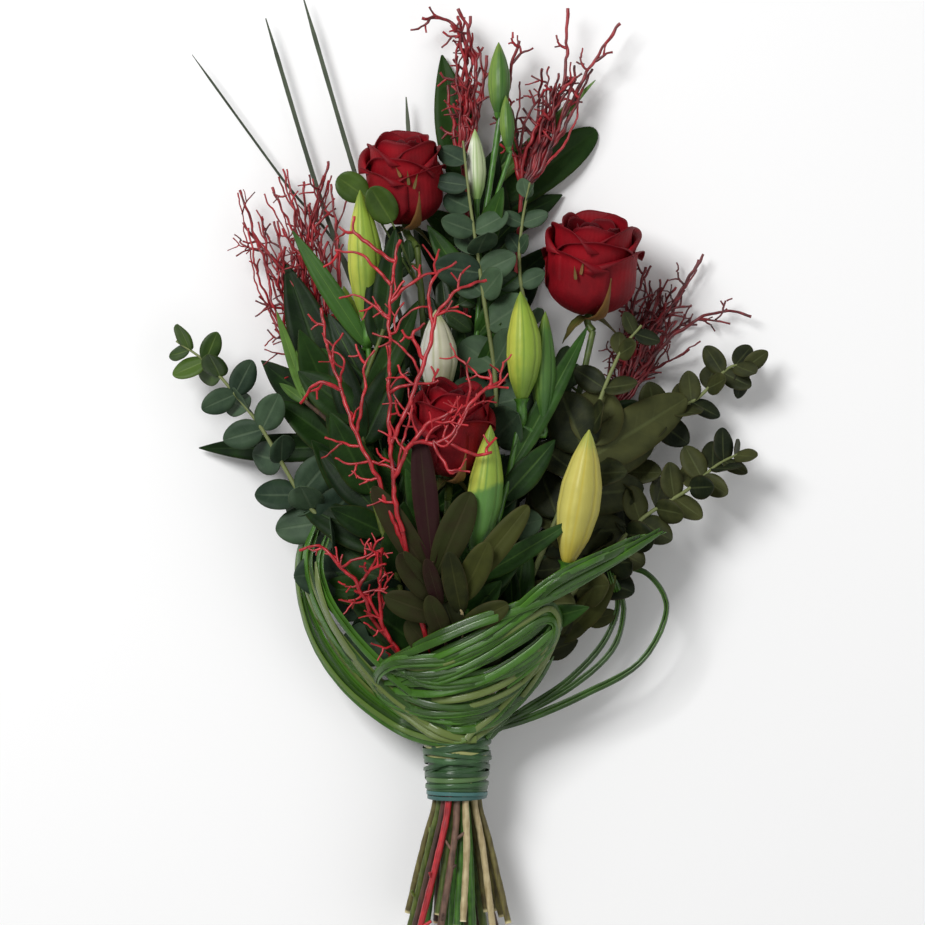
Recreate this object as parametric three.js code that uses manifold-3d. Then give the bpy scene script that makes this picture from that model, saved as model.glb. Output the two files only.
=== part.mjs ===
// A mixed flower bouquet, bound at the neck with wound grass and lying on its back, in millimetres.
// X runs across the bouquet, Y from the cut stems to the tips, Z from the surface up through the blooms.
// Heads and stems are laid out on a grid of PIXEL-sized steps seen from above, and stand in seven rows
// of depth that close up to a hexagon of stems in the neck.
import * as THREE from "three";
import { mergeVertices } from "three/addons/utils/BufferGeometryUtils.js";
import Module from "manifold-3d";

const wasm = await Module();
wasm.setup();

// Driving dimensions.
const PIXEL = 0.8; // one step of the layout grid, which makes the largest lily bud 108 long
const NECK_PIXEL = { x: 457, y: 762 }; // the middle of the binding on the layout grid
const NECK_HEIGHT = 50; // the bundle's axis above the surface
const STEM_PITCH = 6.7; // between neighbouring stems in the neck
const ROW_PITCH = (STEM_PITCH * Math.sqrt(3)) / 2;
const ROW_STEMS = [3, 4, 5, 6, 5, 4, 3];
const ROW_HEIGHTS = [14, 36, 58, 80, 102, 124, 152]; // each row's height in the middle of the head
const MIDDLE_ROW = 3;
const HEAD_START = 26; // the rows part above this height of the neck
const HEAD_FULL = 190; // and stand fully apart here
const DOME_HALF_WIDTH = 240;
const DOME_TOP_START = 330;
const DOME_LENGTH = 320;
const DOME_FLOOR = 18;
const DOME_FALL = 0.5; // share of its height that a row loses at the edge of the dome
const SPLAY_START = 30;
const SPLAY_LENGTH = 130;
const SPLAY_WIDE = 2.0;
const SPLAY_DEEP = 1.15;
const SPLAY_TURN = THREE.MathUtils.degToRad(20);
const SPLAY_SAG = 14;
const CUT_NEAR = 122; // the shortest stem ends this far below the neck
const CUT_SPREAD = 38;
const STEM_RADIUS = 3.2; // a stout six-sided stem where it passes the neck
const SLIM_STEM_RADIUS = 3.5; // a slim four-sided one, to its corners
const BINDING_INNER = 22.8;
const BINDING_OUTER = 28.4;
const BINDING_TOP = 22;
const BINDING_BOTTOM = -17;
const BINDING_TURNS = 5;
const TIE_TOP = -18.5;
const TIE_BOTTOM = -30;
const TIE_OUTER = 24.5;
const LEAF_THICKNESS = 0.9;
const LEAF_ROOT = 0.4; // a leaf starts this far from the middle of its stem
const PETAL_THICKNESS = 0.7;
const CLEARANCE = 0.3;
const SLIVER = 0.02; // edges shorter than this are closed up

const X = new THREE.Vector3(1, 0, 0);
const Y = new THREE.Vector3(0, 1, 0);
const Z = new THREE.Vector3(0, 0, 1);

// Outlines of blades, as half widths along the length.
const LANCE = [[0, 0.04], [0.3, 0.92], [0.68, 0.84], [1, 0]];
const OVAL = [[0, 0.04], [0.42, 0.95], [0.84, 0.78], [1, 0]];
const ROUND = [[0, 0.04], [0.34, 0.98], [0.78, 0.84], [1, 0]];
const SEPAL = [[0, 0.4], [0.4, 1], [1, 0]];

// ---------------------------------------------------------------------------------------- small tools

const clamp01 = (v) => Math.min(1, Math.max(0, v));
const mix = (a, b, t) => a + (b - a) * t;
const rad = (degrees) => (degrees * Math.PI) / 180;

// A seeded draw of numbers from 0 to 1.
function dice(seed) {
  let state = seed;
  return () => {
    state = (state * 9301 + 49297) % 233280;
    return state / 233280;
  };
}

const vec = (x, y, z) => new THREE.Vector3(x, y, z);
const blend = (...terms) => {
  const sum = vec(0, 0, 0);
  for (const [vector, amount] of terms) {
    sum.addScaledVector(vector, amount);
  }
  return sum;
};

function solidOf(positions, triangles) {
  const kept = [];
  for (let i = 0; i < triangles.length; i += 3) {
    const [a, b, c] = triangles.slice(i, i + 3);
    if (a !== b && b !== c && c !== a) {
      kept.push(a, b, c);
    }
  }
  const mesh = new wasm.Mesh({
    numProp: 3,
    vertProperties: Float32Array.from(positions),
    triVerts: Uint32Array.from(kept),
  });
  return new wasm.Manifold(mesh);
}

function solidOfGeometry(geometry) {
  geometry.deleteAttribute("normal");
  geometry.deleteAttribute("uv");
  const merged = mergeVertices(geometry, 1e-4);
  return solidOf(merged.attributes.position.array, merged.index.array);
}

// ------------------------------------------------------------------------------------------- layout

// A row's height above the surface, over a point of the plan.
function rowHeight(row, x, y) {
  const neck = NECK_HEIGHT + (row - MIDDLE_ROW) * ROW_PITCH;
  const opening = clamp01((y - HEAD_START) / (HEAD_FULL - HEAD_START));
  const beyond = Math.max(0, y - DOME_TOP_START) / DOME_LENGTH;
  const edge = Math.min(1, (x / DOME_HALF_WIDTH) ** 2 + beyond ** 2);
  const head = DOME_FLOOR + (ROW_HEIGHTS[row] - DOME_FLOOR) * (1 - DOME_FALL * edge);
  return mix(neck, head, opening);
}

// The point over a step of the layout grid, in a row, lifted off it where the piece needs it.
function at(px, py, row, lift = 0) {
  const x = (px - NECK_PIXEL.x) * PIXEL;
  const y = (NECK_PIXEL.y - py) * PIXEL;
  return vec(x, y, rowHeight(row, x, y) + lift);
}

// A stem's place in the bundle, at a height of the neck and below it, where the stems splay.
function bundlePoint(row, place, y) {
  const across = (place - (ROW_STEMS[row] - 1) / 2) * STEM_PITCH;
  const deep = (row - MIDDLE_ROW) * ROW_PITCH;
  const out = Math.max(0, -y - SPLAY_START) / SPLAY_LENGTH;
  const turn = SPLAY_TURN * out;
  const wide = (across * Math.cos(turn) - deep * Math.sin(turn)) * (1 + SPLAY_WIDE * out);
  const high = (across * Math.sin(turn) + deep * Math.cos(turn)) * (1 + SPLAY_DEEP * out);
  return vec(wide, y, NECK_HEIGHT - SPLAY_SAG * out + high);
}

// A smooth path near points, in three steps for every two stretches.
function smoothPath(points) {
  const curve = new THREE.CatmullRomCurve3(points, false, "catmullrom", 0.5);
  return curve.getPoints(Math.round(1.5 * (points.length - 1)));
}

function tangentAt(path, i) {
  const before = path[Math.max(0, i - 1)];
  const after = path[Math.min(path.length - 1, i + 1)];
  return after.clone().sub(before).normalize();
}

// A place along a path, from 0 to 1 of its points, with its own directions: along, side and out.
function placeOn(path, fraction) {
  const step = clamp01(fraction) * (path.length - 1);
  const i = Math.min(path.length - 2, Math.floor(step));
  const point = path[i].clone().lerp(path[i + 1], step - i);
  const along = path[i + 1].clone().sub(path[i]).normalize();
  const side = along.clone().cross(Z).normalize();
  const out = side.clone().cross(along);
  return { point, along, side, out };
}

// ------------------------------------------------------------------------------------------- shapes

// The point of a path that lies nearest to another point.
function nearestOn(path, target) {
  const line = new THREE.Line3();
  let best = path[0];
  for (let i = 0; i < path.length - 1; i += 1) {
    line.set(path[i], path[i + 1]);
    const point = line.closestPointToPoint(target, true, vec(0, 0, 0));
    best = point.distanceTo(target) < best.distanceTo(target) ? point : best;
  }
  return best.clone();
}

// A rod along a path: a cylinder whose rings are set on the path's points. flat is its thickness over
// its width, outward gives the direction of the thickness at a point, and turn turns its corners.
function rod(path, radiusAt, sides, { flat = 1, outward = null, turn = 0 } = {}) {
  const rings = path.length - 1;
  const geometry = new THREE.CylinderGeometry(1, 1, 1, sides, rings);
  geometry.rotateY(turn);
  const position = geometry.attributes.position;
  const reach = path[rings].clone().sub(path[0]).normalize();
  const steady = Math.abs(reach.z) > 0.85 ? Y : Z;
  for (let v = 0; v < position.count; v += 1) {
    const i = Math.round((position.getY(v) + 0.5) * rings);
    const along = tangentAt(path, i);
    const up = outward ? outward(path[i]) : steady;
    const side = along.clone().cross(up).normalize();
    const out = side.clone().cross(along);
    const radius = radiusAt(i / rings);
    const place = path[i].clone();
    place.addScaledVector(side, position.getX(v) * radius);
    place.addScaledVector(out, position.getZ(v) * radius * flat);
    position.setXYZ(v, place.x, place.y, place.z);
  }
  return solidOfGeometry(geometry);
}

// A blade from its base along direction, its face towards facing. bend curls it towards its face, in
// radians over its length, and fold raises its two edges from the rib, as a share of the half width.
function leaf({ base, direction, facing, length, width, outline, bend = 0, fold = 0 }) {
  const along = direction.clone().normalize();
  const face = facing.clone().addScaledVector(along, -facing.dot(along)).normalize();
  const across = along.clone().cross(face);
  const columns = fold ? 3 : 2;
  const last = outline.length - 1;
  const upper = [];
  const lower = [];
  outline.forEach(([s, half], i) => {
    const turn = bend * s;
    const forward = bend ? Math.sin(turn) / bend : s;
    const raised = bend ? (1 - Math.cos(turn)) / bend : 0;
    const rib = base.clone().addScaledVector(along, forward * length);
    rib.addScaledVector(face, raised * length);
    const normal = blend([face, Math.cos(turn)], [along, -Math.sin(turn)]);
    const row = i === last ? [0] : columns === 3 ? [-1, 0, 1] : [-1, 1];
    for (const u of row) {
      const reach = (u * half * width) / 2;
      const point = rib.clone().addScaledVector(across, reach);
      point.addScaledVector(normal, Math.abs(reach) * fold);
      upper.push(point.clone().addScaledVector(normal, LEAF_THICKNESS / 2));
      lower.push(point.addScaledVector(normal, -LEAF_THICKNESS / 2));
    }
  });
  return slab(upper, lower, columns, last);
}

// The solid between two like sheets of points: rows of columns, and a single last point at the tip.
function slab(upper, lower, columns, last) {
  const under = upper.length;
  const faces = [];
  const edge = [];
  const both = (a, b, c) => {
    faces.push(a, b, c, under + a, under + c, under + b);
  };
  for (let i = 0; i < last; i += 1) {
    for (let j = 0; j < columns - 1; j += 1) {
      const a = i * columns + j;
      if (i === last - 1) {
        both(a, a + 1, last * columns);
      } else {
        both(a, a + 1, a + 1 + columns);
        both(a, a + 1 + columns, a + columns);
      }
    }
  }
  for (let j = 0; j < columns - 1; j += 1) {
    edge.push(j);
  }
  for (let i = 0; i < last; i += 1) {
    edge.push(i * columns + columns - 1);
  }
  edge.push(last * columns);
  for (let i = last - 1; i > 0; i -= 1) {
    edge.push(i * columns);
  }
  edge.forEach((a, k) => {
    const b = edge[(k + 1) % edge.length];
    faces.push(b, a, under + a, b, under + a, under + b);
  });
  const positions = [...upper, ...lower].flatMap((p) => [p.x, p.y, p.z]);
  return solidOf(positions, faces);
}

// A petal of a cup: part of a bowl round the axis, its rim rounded and rolled out.
function petal({ centre, axis, around, radius, height, spread, tuck, roll, columns, rows }) {
  const side = axis.clone().cross(Math.abs(axis.z) > 0.8 ? Y : Z).normalize();
  const other = axis.clone().cross(side);
  const pointAt = (u, v, offset) => {
    const turn = around + u * spread * (0.55 + 0.45 * Math.sqrt(v));
    const bowl = 0.3 + 0.7 * Math.sin(Math.min(1, v / 0.62) * (Math.PI / 2));
    const rim = Math.max(0, v - 0.7) / 0.3;
    const r = radius * bowl + tuck * u + roll * rim ** 2 + offset;
    const h = height * (v - 0.42) - height * 0.16 * u * u * v;
    return centre
      .clone()
      .addScaledVector(side, r * Math.cos(turn))
      .addScaledVector(other, r * Math.sin(turn))
      .addScaledVector(axis, h - offset * 0.6 * (1 - v));
  };
  const outer = [];
  const inner = [];
  for (let j = 0; j <= rows; j += 1) {
    for (let i = 0; i <= columns; i += 1) {
      const u = (i / columns) * 2 - 1;
      outer.push(pointAt(u, j / rows, PETAL_THICKNESS / 2));
      inner.push(pointAt(u, j / rows, -PETAL_THICKNESS / 2));
    }
  }
  return shell(outer, inner, columns, rows);
}

// The solid between two like grids of points.
function shell(outer, inner, columns, rows) {
  const wide = columns + 1;
  const under = outer.length;
  const faces = [];
  const edge = [];
  const both = (a, b, c) => {
    faces.push(a, b, c, under + a, under + c, under + b);
  };
  for (let j = 0; j < rows; j += 1) {
    for (let i = 0; i < columns; i += 1) {
      const a = j * wide + i;
      both(a, a + 1, a + 1 + wide);
      both(a, a + 1 + wide, a + wide);
    }
  }
  for (let i = 0; i < columns; i += 1) {
    edge.push(i);
  }
  for (let j = 0; j < rows; j += 1) {
    edge.push(j * wide + columns);
  }
  for (let i = columns; i > 0; i -= 1) {
    edge.push(rows * wide + i);
  }
  for (let j = rows; j > 0; j -= 1) {
    edge.push(j * wide);
  }
  edge.forEach((a, k) => {
    const b = edge[(k + 1) % edge.length];
    faces.push(b, a, under + a, b, under + a, under + b);
  });
  const positions = [...outer, ...inner].flatMap((p) => [p.x, p.y, p.z]);
  const solid = solidOf(positions, faces);
  return solid.volume() > 0 ? solid : solidOf(positions, faces.reverse());
}

// A closed lily bud from base to tip: a spindle with three ridges.
function bud({ base, tip, radius }) {
  const SIDES = 6;
  const OUTLINE = [0.34, 0.76, 1, 0.92, 0.56, 0.12];
  const along = tip.clone().sub(base);
  const axis = along.clone().normalize();
  const side = axis.clone().cross(Z).normalize();
  const out = side.clone().cross(axis);
  const geometry = new THREE.CylinderGeometry(1, 1, 1, SIDES, OUTLINE.length - 1);
  const position = geometry.attributes.position;
  for (let v = 0; v < position.count; v += 1) {
    const s = position.getY(v) + 0.5;
    const turn = Math.atan2(position.getZ(v), position.getX(v));
    const reach = Math.hypot(position.getX(v), position.getZ(v));
    const ridge = 1 + 0.07 * Math.cos(3 * turn);
    const r = reach * ridge * radius * OUTLINE[Math.round(s * (OUTLINE.length - 1))];
    const place = base.clone().addScaledVector(along, s);
    place.addScaledVector(side, r * Math.cos(turn)).addScaledVector(out, r * Math.sin(turn));
    position.setXYZ(v, place.x, place.y, place.z);
  }
  return solidOfGeometry(geometry);
}

// A ring round the bundle's axis, from a closed outline of [radius, height] points.
function ring(outline, segments) {
  const points = outline.map(([r, y]) => new THREE.Vector2(r, y));
  const geometry = new THREE.LatheGeometry([...points, points[0]], segments);
  geometry.translate(0, 0, NECK_HEIGHT);
  return solidOfGeometry(geometry);
}

// ----------------------------------------------------------------------------------- pieces and nodes

const nodes = [];
const placed = [];

function node(name, colour, roughness) {
  const made = { name, colour, roughness, solids: [] };
  nodes.push(made);
  return made;
}

function boxesNear(a, b, gap) {
  return [0, 1, 2].every((k) => a.min[k] - gap < b.max[k] && b.min[k] - gap < a.max[k]);
}

function put(owner, solid) {
  owner.solids.push(solid);
  placed.push({ owner, solid, box: solid.boundingBox() });
}

// Adds a solid that may have no room: it is left out where it comes too near another node's solids.
function putIfClear(owner, solid) {
  const box = solid.boundingBox();
  const near = placed.filter((p) => p.owner !== owner && boxesNear(p.box, box, CLEARANCE));
  const clear = near.every((p) => p.solid.minGap(solid, CLEARANCE) >= CLEARANCE);
  if (clear) {
    put(owner, solid);
  }
  return clear;
}

// Adds a leaf, its tip bent a little up or down where it would meet a neighbour.
function putLeaf(owner, shape) {
  const lifts = [0, 0.08, -0.08, 0.16, -0.16, 0.26, -0.26];
  return lifts.some((lift) => {
    const direction = blend([shape.direction, 1], [Z, lift * shape.direction.length()]);
    return putIfClear(owner, leaf({ ...shape, direction }));
  });
}

// ------------------------------------------------------------------------------------------- stems

// A stem from its cut end through the neck and along its head points, [px, py, lift] from low to high.
function stemPath(spec) {
  const draw = dice(spec.row * 97 + spec.place * 31 + 7);
  const end = -(CUT_NEAR + CUT_SPREAD * draw());
  const levels = [end, -SPLAY_START - 40, -SPLAY_START, HEAD_START];
  const bundled = levels.map((y) => bundlePoint(spec.row, spec.place, y));
  const head = spec.head.map(([px, py, lift]) => at(px, py, spec.row, lift));
  return [...bundled, ...head];
}

function putStem(owner, spec) {
  const path = stemPath(spec);
  const neck = spec.slim ? SLIM_STEM_RADIUS : STEM_RADIUS;
  const tip = spec.tip ?? 1.6;
  const start = 3 / (path.length - 1);
  const radiusAt = (f) => mix(neck, tip, clamp01((f - start) / (1 - start)));
  const section = spec.slim ? { sides: 4, turn: Math.PI / 4 } : { sides: 6, turn: 0 };
  put(owner, rod(path, radiusAt, section.sides, { turn: section.turn }));
  return path;
}

const STEM_LEAVES_END = 0.97; // the last leaf's place on a stem
const FOLDED_WIDTH = 25; // leaves this wide on the layout grid fold along the rib

// Leaves on hand-picked spots, rooted where the stem passes nearest to the first point given:
// [base px, py, tip px, py, width in steps, lift of the tip].
function putNamedLeaves(owner, path, row, spots, outline = LANCE) {
  for (const [bx, by, tx, ty, wide, lift] of spots) {
    const base = nearestOn(path, at(bx, by, row));
    const direction = at(tx, ty, row, lift).sub(base);
    const facing = blend([Z, 1], [Y, -0.15]);
    const length = direction.length();
    const shape = { base, direction, facing, length, width: wide * PIXEL, outline };
    putLeaf(owner, { ...shape, bend: -0.25, fold: wide < FOLDED_WIDTH ? 0 : 0.22 });
  }
}

// Lance leaves in turn round a stem, from a fraction of its path to near its end.
function putStemLeaves({ owner, path, seed, count, from, length, width }) {
  const draw = dice(seed);
  for (let k = 0; k < count; k += 1) {
    const { point, along, side, out } = placeOn(path, mix(from, STEM_LEAVES_END, k / (count - 1)));
    const turn = k * rad(137.5) + draw() * 0.5;
    const rise = rad(34 + 22 * draw());
    const direction = blend(
      [along, Math.cos(rise)],
      [side, Math.sin(rise) * Math.cos(turn)],
      [out, Math.sin(rise) * Math.sin(turn) * 0.4],
    ).normalize();
    const facing = blend([Z, 1], [side, (draw() - 0.5) * 0.9], [along, (draw() - 0.5) * 0.5]);
    const size = length * (0.8 + 0.35 * draw());
    const base = point.addScaledVector(direction, LEAF_ROOT);
    const shape = { base, direction, facing, length: size, width, outline: LANCE };
    putLeaf(owner, { ...shape, bend: -0.5 * draw() });
  }
}

// Pairs of round leaves along a eucalyptus stem, large below and small at the tip.
function putPairs(owner, path, { seed, pairs, from, large, small }) {
  const draw = dice(seed);
  for (let k = 0; k < pairs; k += 1) {
    const f = k / (pairs - 1);
    const { point, along, side, out } = placeOn(path, mix(from, 0.97, f));
    const size = mix(large, small, f);
    const roll = rad((k % 2 ? 38 : -24) + 16 * (draw() - 0.5));
    for (const hand of [-1, 1]) {
      const spread = rad(58 + 16 * draw());
      const direction = blend(
        [along, Math.cos(spread)],
        [side, hand * Math.sin(spread) * Math.cos(roll)],
        [out, hand * Math.sin(spread) * Math.sin(roll)],
      );
      const facing = blend([Z, 1], [X, (draw() - 0.5) * 0.9], [Y, (draw() - 0.5) * 0.9]);
      const length = size * (0.9 + 0.2 * draw());
      const base = point.clone().addScaledVector(direction, LEAF_ROOT);
      const shape = { base, direction, facing, length, width: length * 0.92 };
      putLeaf(owner, { ...shape, outline: ROUND, bend: 0.2 });
    }
  }
}

// ------------------------------------------------------------------------------------------- twigs

// A branched twig that zigzags away from a point, with side twigs of its own.
function putTwig(owner, draw, start, direction, length, radius, joints, branches) {
  const points = [start];
  let heading = direction.clone().normalize();
  for (let i = 0; i < joints; i += 1) {
    const side = heading.clone().cross(Z).normalize();
    const bend = (i % 2 ? 1 : -1) * (0.2 + 0.35 * draw());
    heading = blend([heading, 1], [side, bend], [Z, (draw() - 0.5) * 0.3]).normalize();
    points.push(points[i].clone().addScaledVector(heading, length / joints));
  }
  if (!putIfClear(owner, rod(points, (f) => radius * (1 - f), 3))) {
    return;
  }
  for (let b = 0; b < branches; b += 1) {
    const from = points[1 + (b % 2)];
    const side = direction.clone().cross(Z).normalize();
    const hand = b % 2 ? 1 : -1;
    const away = blend([direction.clone().normalize(), 0.8], [side, hand * (0.6 + 0.4 * draw())]);
    away.addScaledVector(Z, (draw() - 0.5) * 0.5);
    putTwig(owner, draw, from, away, length * (0.5 + 0.2 * draw()), radius * 0.75, 1, 0);
  }
}

// Arms on hand-picked points, each rooted on the stem or an older arm, with twigs along it.
function putArms(owner, stem, { seed, row, radius, arms, twigs, length }) {
  const grown = [stem];
  arms.forEach((arm, a) => {
    const path = arm.map(([px, py, lift]) => at(px, py, row, lift));
    const roots = grown.map((older) => nearestOn(older, path[0]));
    path[0] = roots.reduce((one, two) => (two.distanceTo(path[0]) < one.distanceTo(path[0]) ? two : one));
    grown.push(path);
    put(owner, rod(path, (f) => radius * (1 - 0.5 * f), 3));
    for (let k = 0; k < twigs; k += 1) {
      const draw = dice(seed + 1723 * a + 7919 * k);
      const place = placeOn(path, mix(0.1, 0.95, (k + 0.6 * draw()) / twigs));
      const hand = k % 2 ? 1 : -1;
      const away = blend([place.along, 0.75], [place.side, hand * (0.5 + 0.5 * draw())]);
      away.addScaledVector(Z, (draw() - 0.5) * 0.5);
      const reach = length * (0.6 + 0.6 * draw());
      putTwig(owner, draw, place.point, away, reach, radius * 0.62, 2, 1);
    }
  });
}

// ------------------------------------------------------------------------------------------- roses

const ROSE_LEAF_LENGTH = 56;
const ROSE_FOOT = 0.72; // the foot of a bloom under its centre, as a share of its radius

function putRose(owner, { centre, axis, radius, seed }) {
  const draw = dice(seed);
  const rings = [
    { count: 5, size: 1, tall: 1.5, roll: 4, spread: 52, columns: 3, rows: 2, up: 0 },
    { count: 3, size: 0.76, tall: 1.45, roll: 1.5, spread: 62, columns: 2, rows: 2, up: 0.1 },
    { count: 2, size: 0.54, tall: 1.35, roll: 0, spread: 80, columns: 2, rows: 2, up: 0.2 },
  ];
  rings.forEach((layer, n) => {
    for (let k = 0; k < layer.count; k += 1) {
      const around = ((k + 0.33 * n) / layer.count) * Math.PI * 2 + (draw() - 0.5) * 0.2;
      put(owner, petal({
        centre: centre.clone().addScaledVector(axis, radius * layer.up),
        axis,
        around,
        radius: radius * layer.size * (0.86 + 0.06 * draw()),
        height: radius * layer.tall,
        spread: rad(layer.spread),
        tuck: radius * 0.08,
        roll: layer.roll,
        columns: layer.columns,
        rows: layer.rows,
      }));
    }
  });
  const low = centre.clone().addScaledVector(axis, -radius * ROSE_FOOT);
  const high = centre.clone().addScaledVector(axis, radius * 0.8);
  const core = [0.3, 0.46, 0.4, 0.2];
  const path = core.map((_, i) => low.clone().lerp(high, i / (core.length - 1)));
  put(owner, rod(path, (f) => radius * core[Math.round(f * (core.length - 1))], 5));
}

// Five sepals under a bloom, and the small bulb that they spring from.
function putSepals(owner, { centre, axis, radius, seed }) {
  const draw = dice(seed);
  const root = centre.clone().addScaledVector(axis, -radius * ROSE_FOOT - 4.5);
  const side = axis.clone().cross(Math.abs(axis.z) > 0.8 ? Y : Z).normalize();
  const other = axis.clone().cross(side);
  for (let k = 0; k < 5; k += 1) {
    const turn = (k / 5) * Math.PI * 2 + 0.4;
    const outward = blend([side, Math.cos(turn)], [other, Math.sin(turn)]);
    const shape = { base: root, direction: blend([outward, 1], [axis, -0.25 - 0.5 * draw()]) };
    const size = { length: radius * 0.72, width: 7, outline: SEPAL, bend: -0.6 };
    putIfClear(owner, leaf({ ...shape, ...size, facing: axis }));
  }
}

// A rose leaf: a stalk with three leaflets.
function putRoseLeaf(owner, base, heading, length) {
  const along = heading.clone().normalize();
  const side = along.clone().cross(Z).normalize();
  const tip = base.clone().addScaledVector(along, length * 0.6);
  const stalk = rod([base, tip], (f) => 1.1 - 0.4 * f, 4);
  if (!putIfClear(owner, stalk)) {
    return;
  }
  const facing = blend([Z, 1], [X, 0.2]);
  const size = length * 0.46;
  const leaflet = (from, hand) => {
    const direction = blend([along, hand ? 0.45 : 1], [side, hand]);
    const shape = { length: size, width: size * 0.6, outline: OVAL };
    putLeaf(owner, { base: from, direction, facing, ...shape });
  };
  leaflet(base.clone().lerp(tip, 0.6), -1);
  leaflet(base.clone().lerp(tip, 0.6), 1);
  leaflet(tip, 0);
}

// ------------------------------------------------------------------------------------------- grass

// The nest of grass stands on this bowl round the foot of the head, given as heights over the plan.
const BOWL_NECK = 26;
const BOWL_OPENING = 102;
const BOWL_HEIGHT = 145;
const BOWL_MARGIN = 11;
const STRAND_ROOT = 4; // a strand that starts this near the binding springs from its top edge

function bowlHeight(x, y) {
  const open = Math.sin((Math.PI / 2) * clamp01((y - BINDING_TOP) / BOWL_HEIGHT));
  const halfWidth = BOWL_NECK + BOWL_OPENING * open;
  const front = rowHeight(ROW_STEMS.length - 1, 0, y) + BOWL_MARGIN - NECK_HEIGHT;
  return NECK_HEIGHT + front * Math.sqrt(Math.max(0, 1 - (x / halfWidth) ** 2));
}

function bowlPoint(px, py, lift = 0) {
  const x = (px - NECK_PIXEL.x) * PIXEL;
  const y = (NECK_PIXEL.y - py) * PIXEL;
  return vec(x, y, bowlHeight(x, y) + lift);
}

const fromAxis = (point) => vec(point.x, 0, Math.max(8, point.z - NECK_HEIGHT)).normalize();

function putStrand(owner, points, width) {
  const path = smoothPath(points);
  if (path[0].y < BINDING_TOP + STRAND_ROOT) {
    path[0].y = BINDING_TOP + 2 * CLEARANCE;
    path[1].set(path[0].x, path[1].y, bowlHeight(path[0].x, path[1].y));
  }
  const radiusAt = (f) => (width / 2) * Math.min(1, 0.35 + 3 * (1 - f));
  put(owner, rod(path, radiusAt, 3, { flat: 0.42, outward: fromAxis }));
}

// ----------------------------------------------------------------------------------------- the parts

const DARK_GREEN = "#26331f";
const LILY_GREEN = "#33491f";
const RED_TWIG = "#a3141b";
const DARK_TWIG = "#5c1219";

const blades = node("upright_grass", "#4a5540", 0.6);
const topLeaves = node("top_leaves", DARK_GREEN, 0.5);
const coralRight = node("coral_twigs_right", DARK_TWIG, 0.6);
const coralLeft = node("coral_twigs_left", RED_TWIG, 0.6);
const coralTop = node("coral_twigs_top", DARK_TWIG, 0.6);
const coralTopRight = node("coral_twigs_top_right", RED_TWIG, 0.6);
const gumRightUpper = node("eucalyptus_right_upper", "#3a4432", 0.6);
const leftLeaves = node("left_leaves", DARK_GREEN, 0.5);
const roseTopStem = node("rose_top_stem", "#3f4a22", 0.6);
const roseTopBloom = node("rose_top_bloom", "#8f0a16", 0.6);
const lilyTopStem = node("lily_top_stem", LILY_GREEN, 0.5);
const lilyTopBudWhite = node("lily_top_bud_white", "#c3cdb0", 0.5);
const lilyTopBudGreen = node("lily_top_bud_green", "#6f8f3f", 0.5);
const lilyTopBudSmall = node("lily_top_bud_small", "#86a35a", 0.5);
const roseRightStem = node("rose_right_stem", "#3f4a22", 0.6);
const roseRightBloom = node("rose_right_bloom", "#8f0a16", 0.6);
const gumRightLower = node("eucalyptus_right_lower", "#3e4a3c", 0.6);
const gumLeft = node("eucalyptus_left", "#46574a", 0.6);
const lilyLeftStem = node("lily_left_stem", LILY_GREEN, 0.5);
const lilyLeftBud = node("lily_left_bud", "#93b04a", 0.5);
const lilyLeftBudSmall = node("lily_left_bud_small", "#9dbb66", 0.5);
const lilyCreamStem = node("lily_cream_stem", LILY_GREEN, 0.5);
const lilyCreamBud = node("lily_cream_bud", "#cfcbb0", 0.5);
const gumTop = node("eucalyptus_top", "#4a5f58", 0.6);
const gumInner = node("eucalyptus_inner", "#3a4a40", 0.6);
const gumRound = node("eucalyptus_round", "#3c4630", 0.6);
const darkLeaves = node("dark_leaves", DARK_GREEN, 0.5);
const lilyCentreStem = node("lily_centre_stem", LILY_GREEN, 0.5);
const lilyCentreBud = node("lily_centre_bud", "#8fae42", 0.5);
const lilyCentreBudDark = node("lily_centre_bud_dark", "#4f7a2c", 0.5);
const lilyPaleStem = node("lily_pale_stem", LILY_GREEN, 0.5);
const lilyPaleBud = node("lily_pale_bud", "#c2c77a", 0.5);
const rightLeaves = node("right_leaves", "#454d26", 0.5);
const coralLow = node("coral_twigs_low", RED_TWIG, 0.6);
const roseFrontStem = node("rose_front_stem", "#3f4a22", 0.6);
const roseFrontBloom = node("rose_front_bloom", "#8f0a16", 0.6);
const lilyFrontStem = node("lily_front_stem", LILY_GREEN, 0.5);
const lilyFrontBud = node("lily_front_bud", "#8aa646", 0.5);
const coralFront = node("coral_twigs_front", RED_TWIG, 0.5);
const maroonLeaves = node("leucadendron_maroon", "#35191a", 0.6);
const oliveLeaves = node("leucadendron_olive", "#37391f", 0.6);
const collar = node("grass_collar", "#3f6a2c", 0.4);
const loops = node("grass_loops_right", "#3f6a2c", 0.4);
const binding = node("neck_binding", "#3d5f38", 0.5);
const tie = node("neck_tie", "#4d8071", 0.6);

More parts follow.
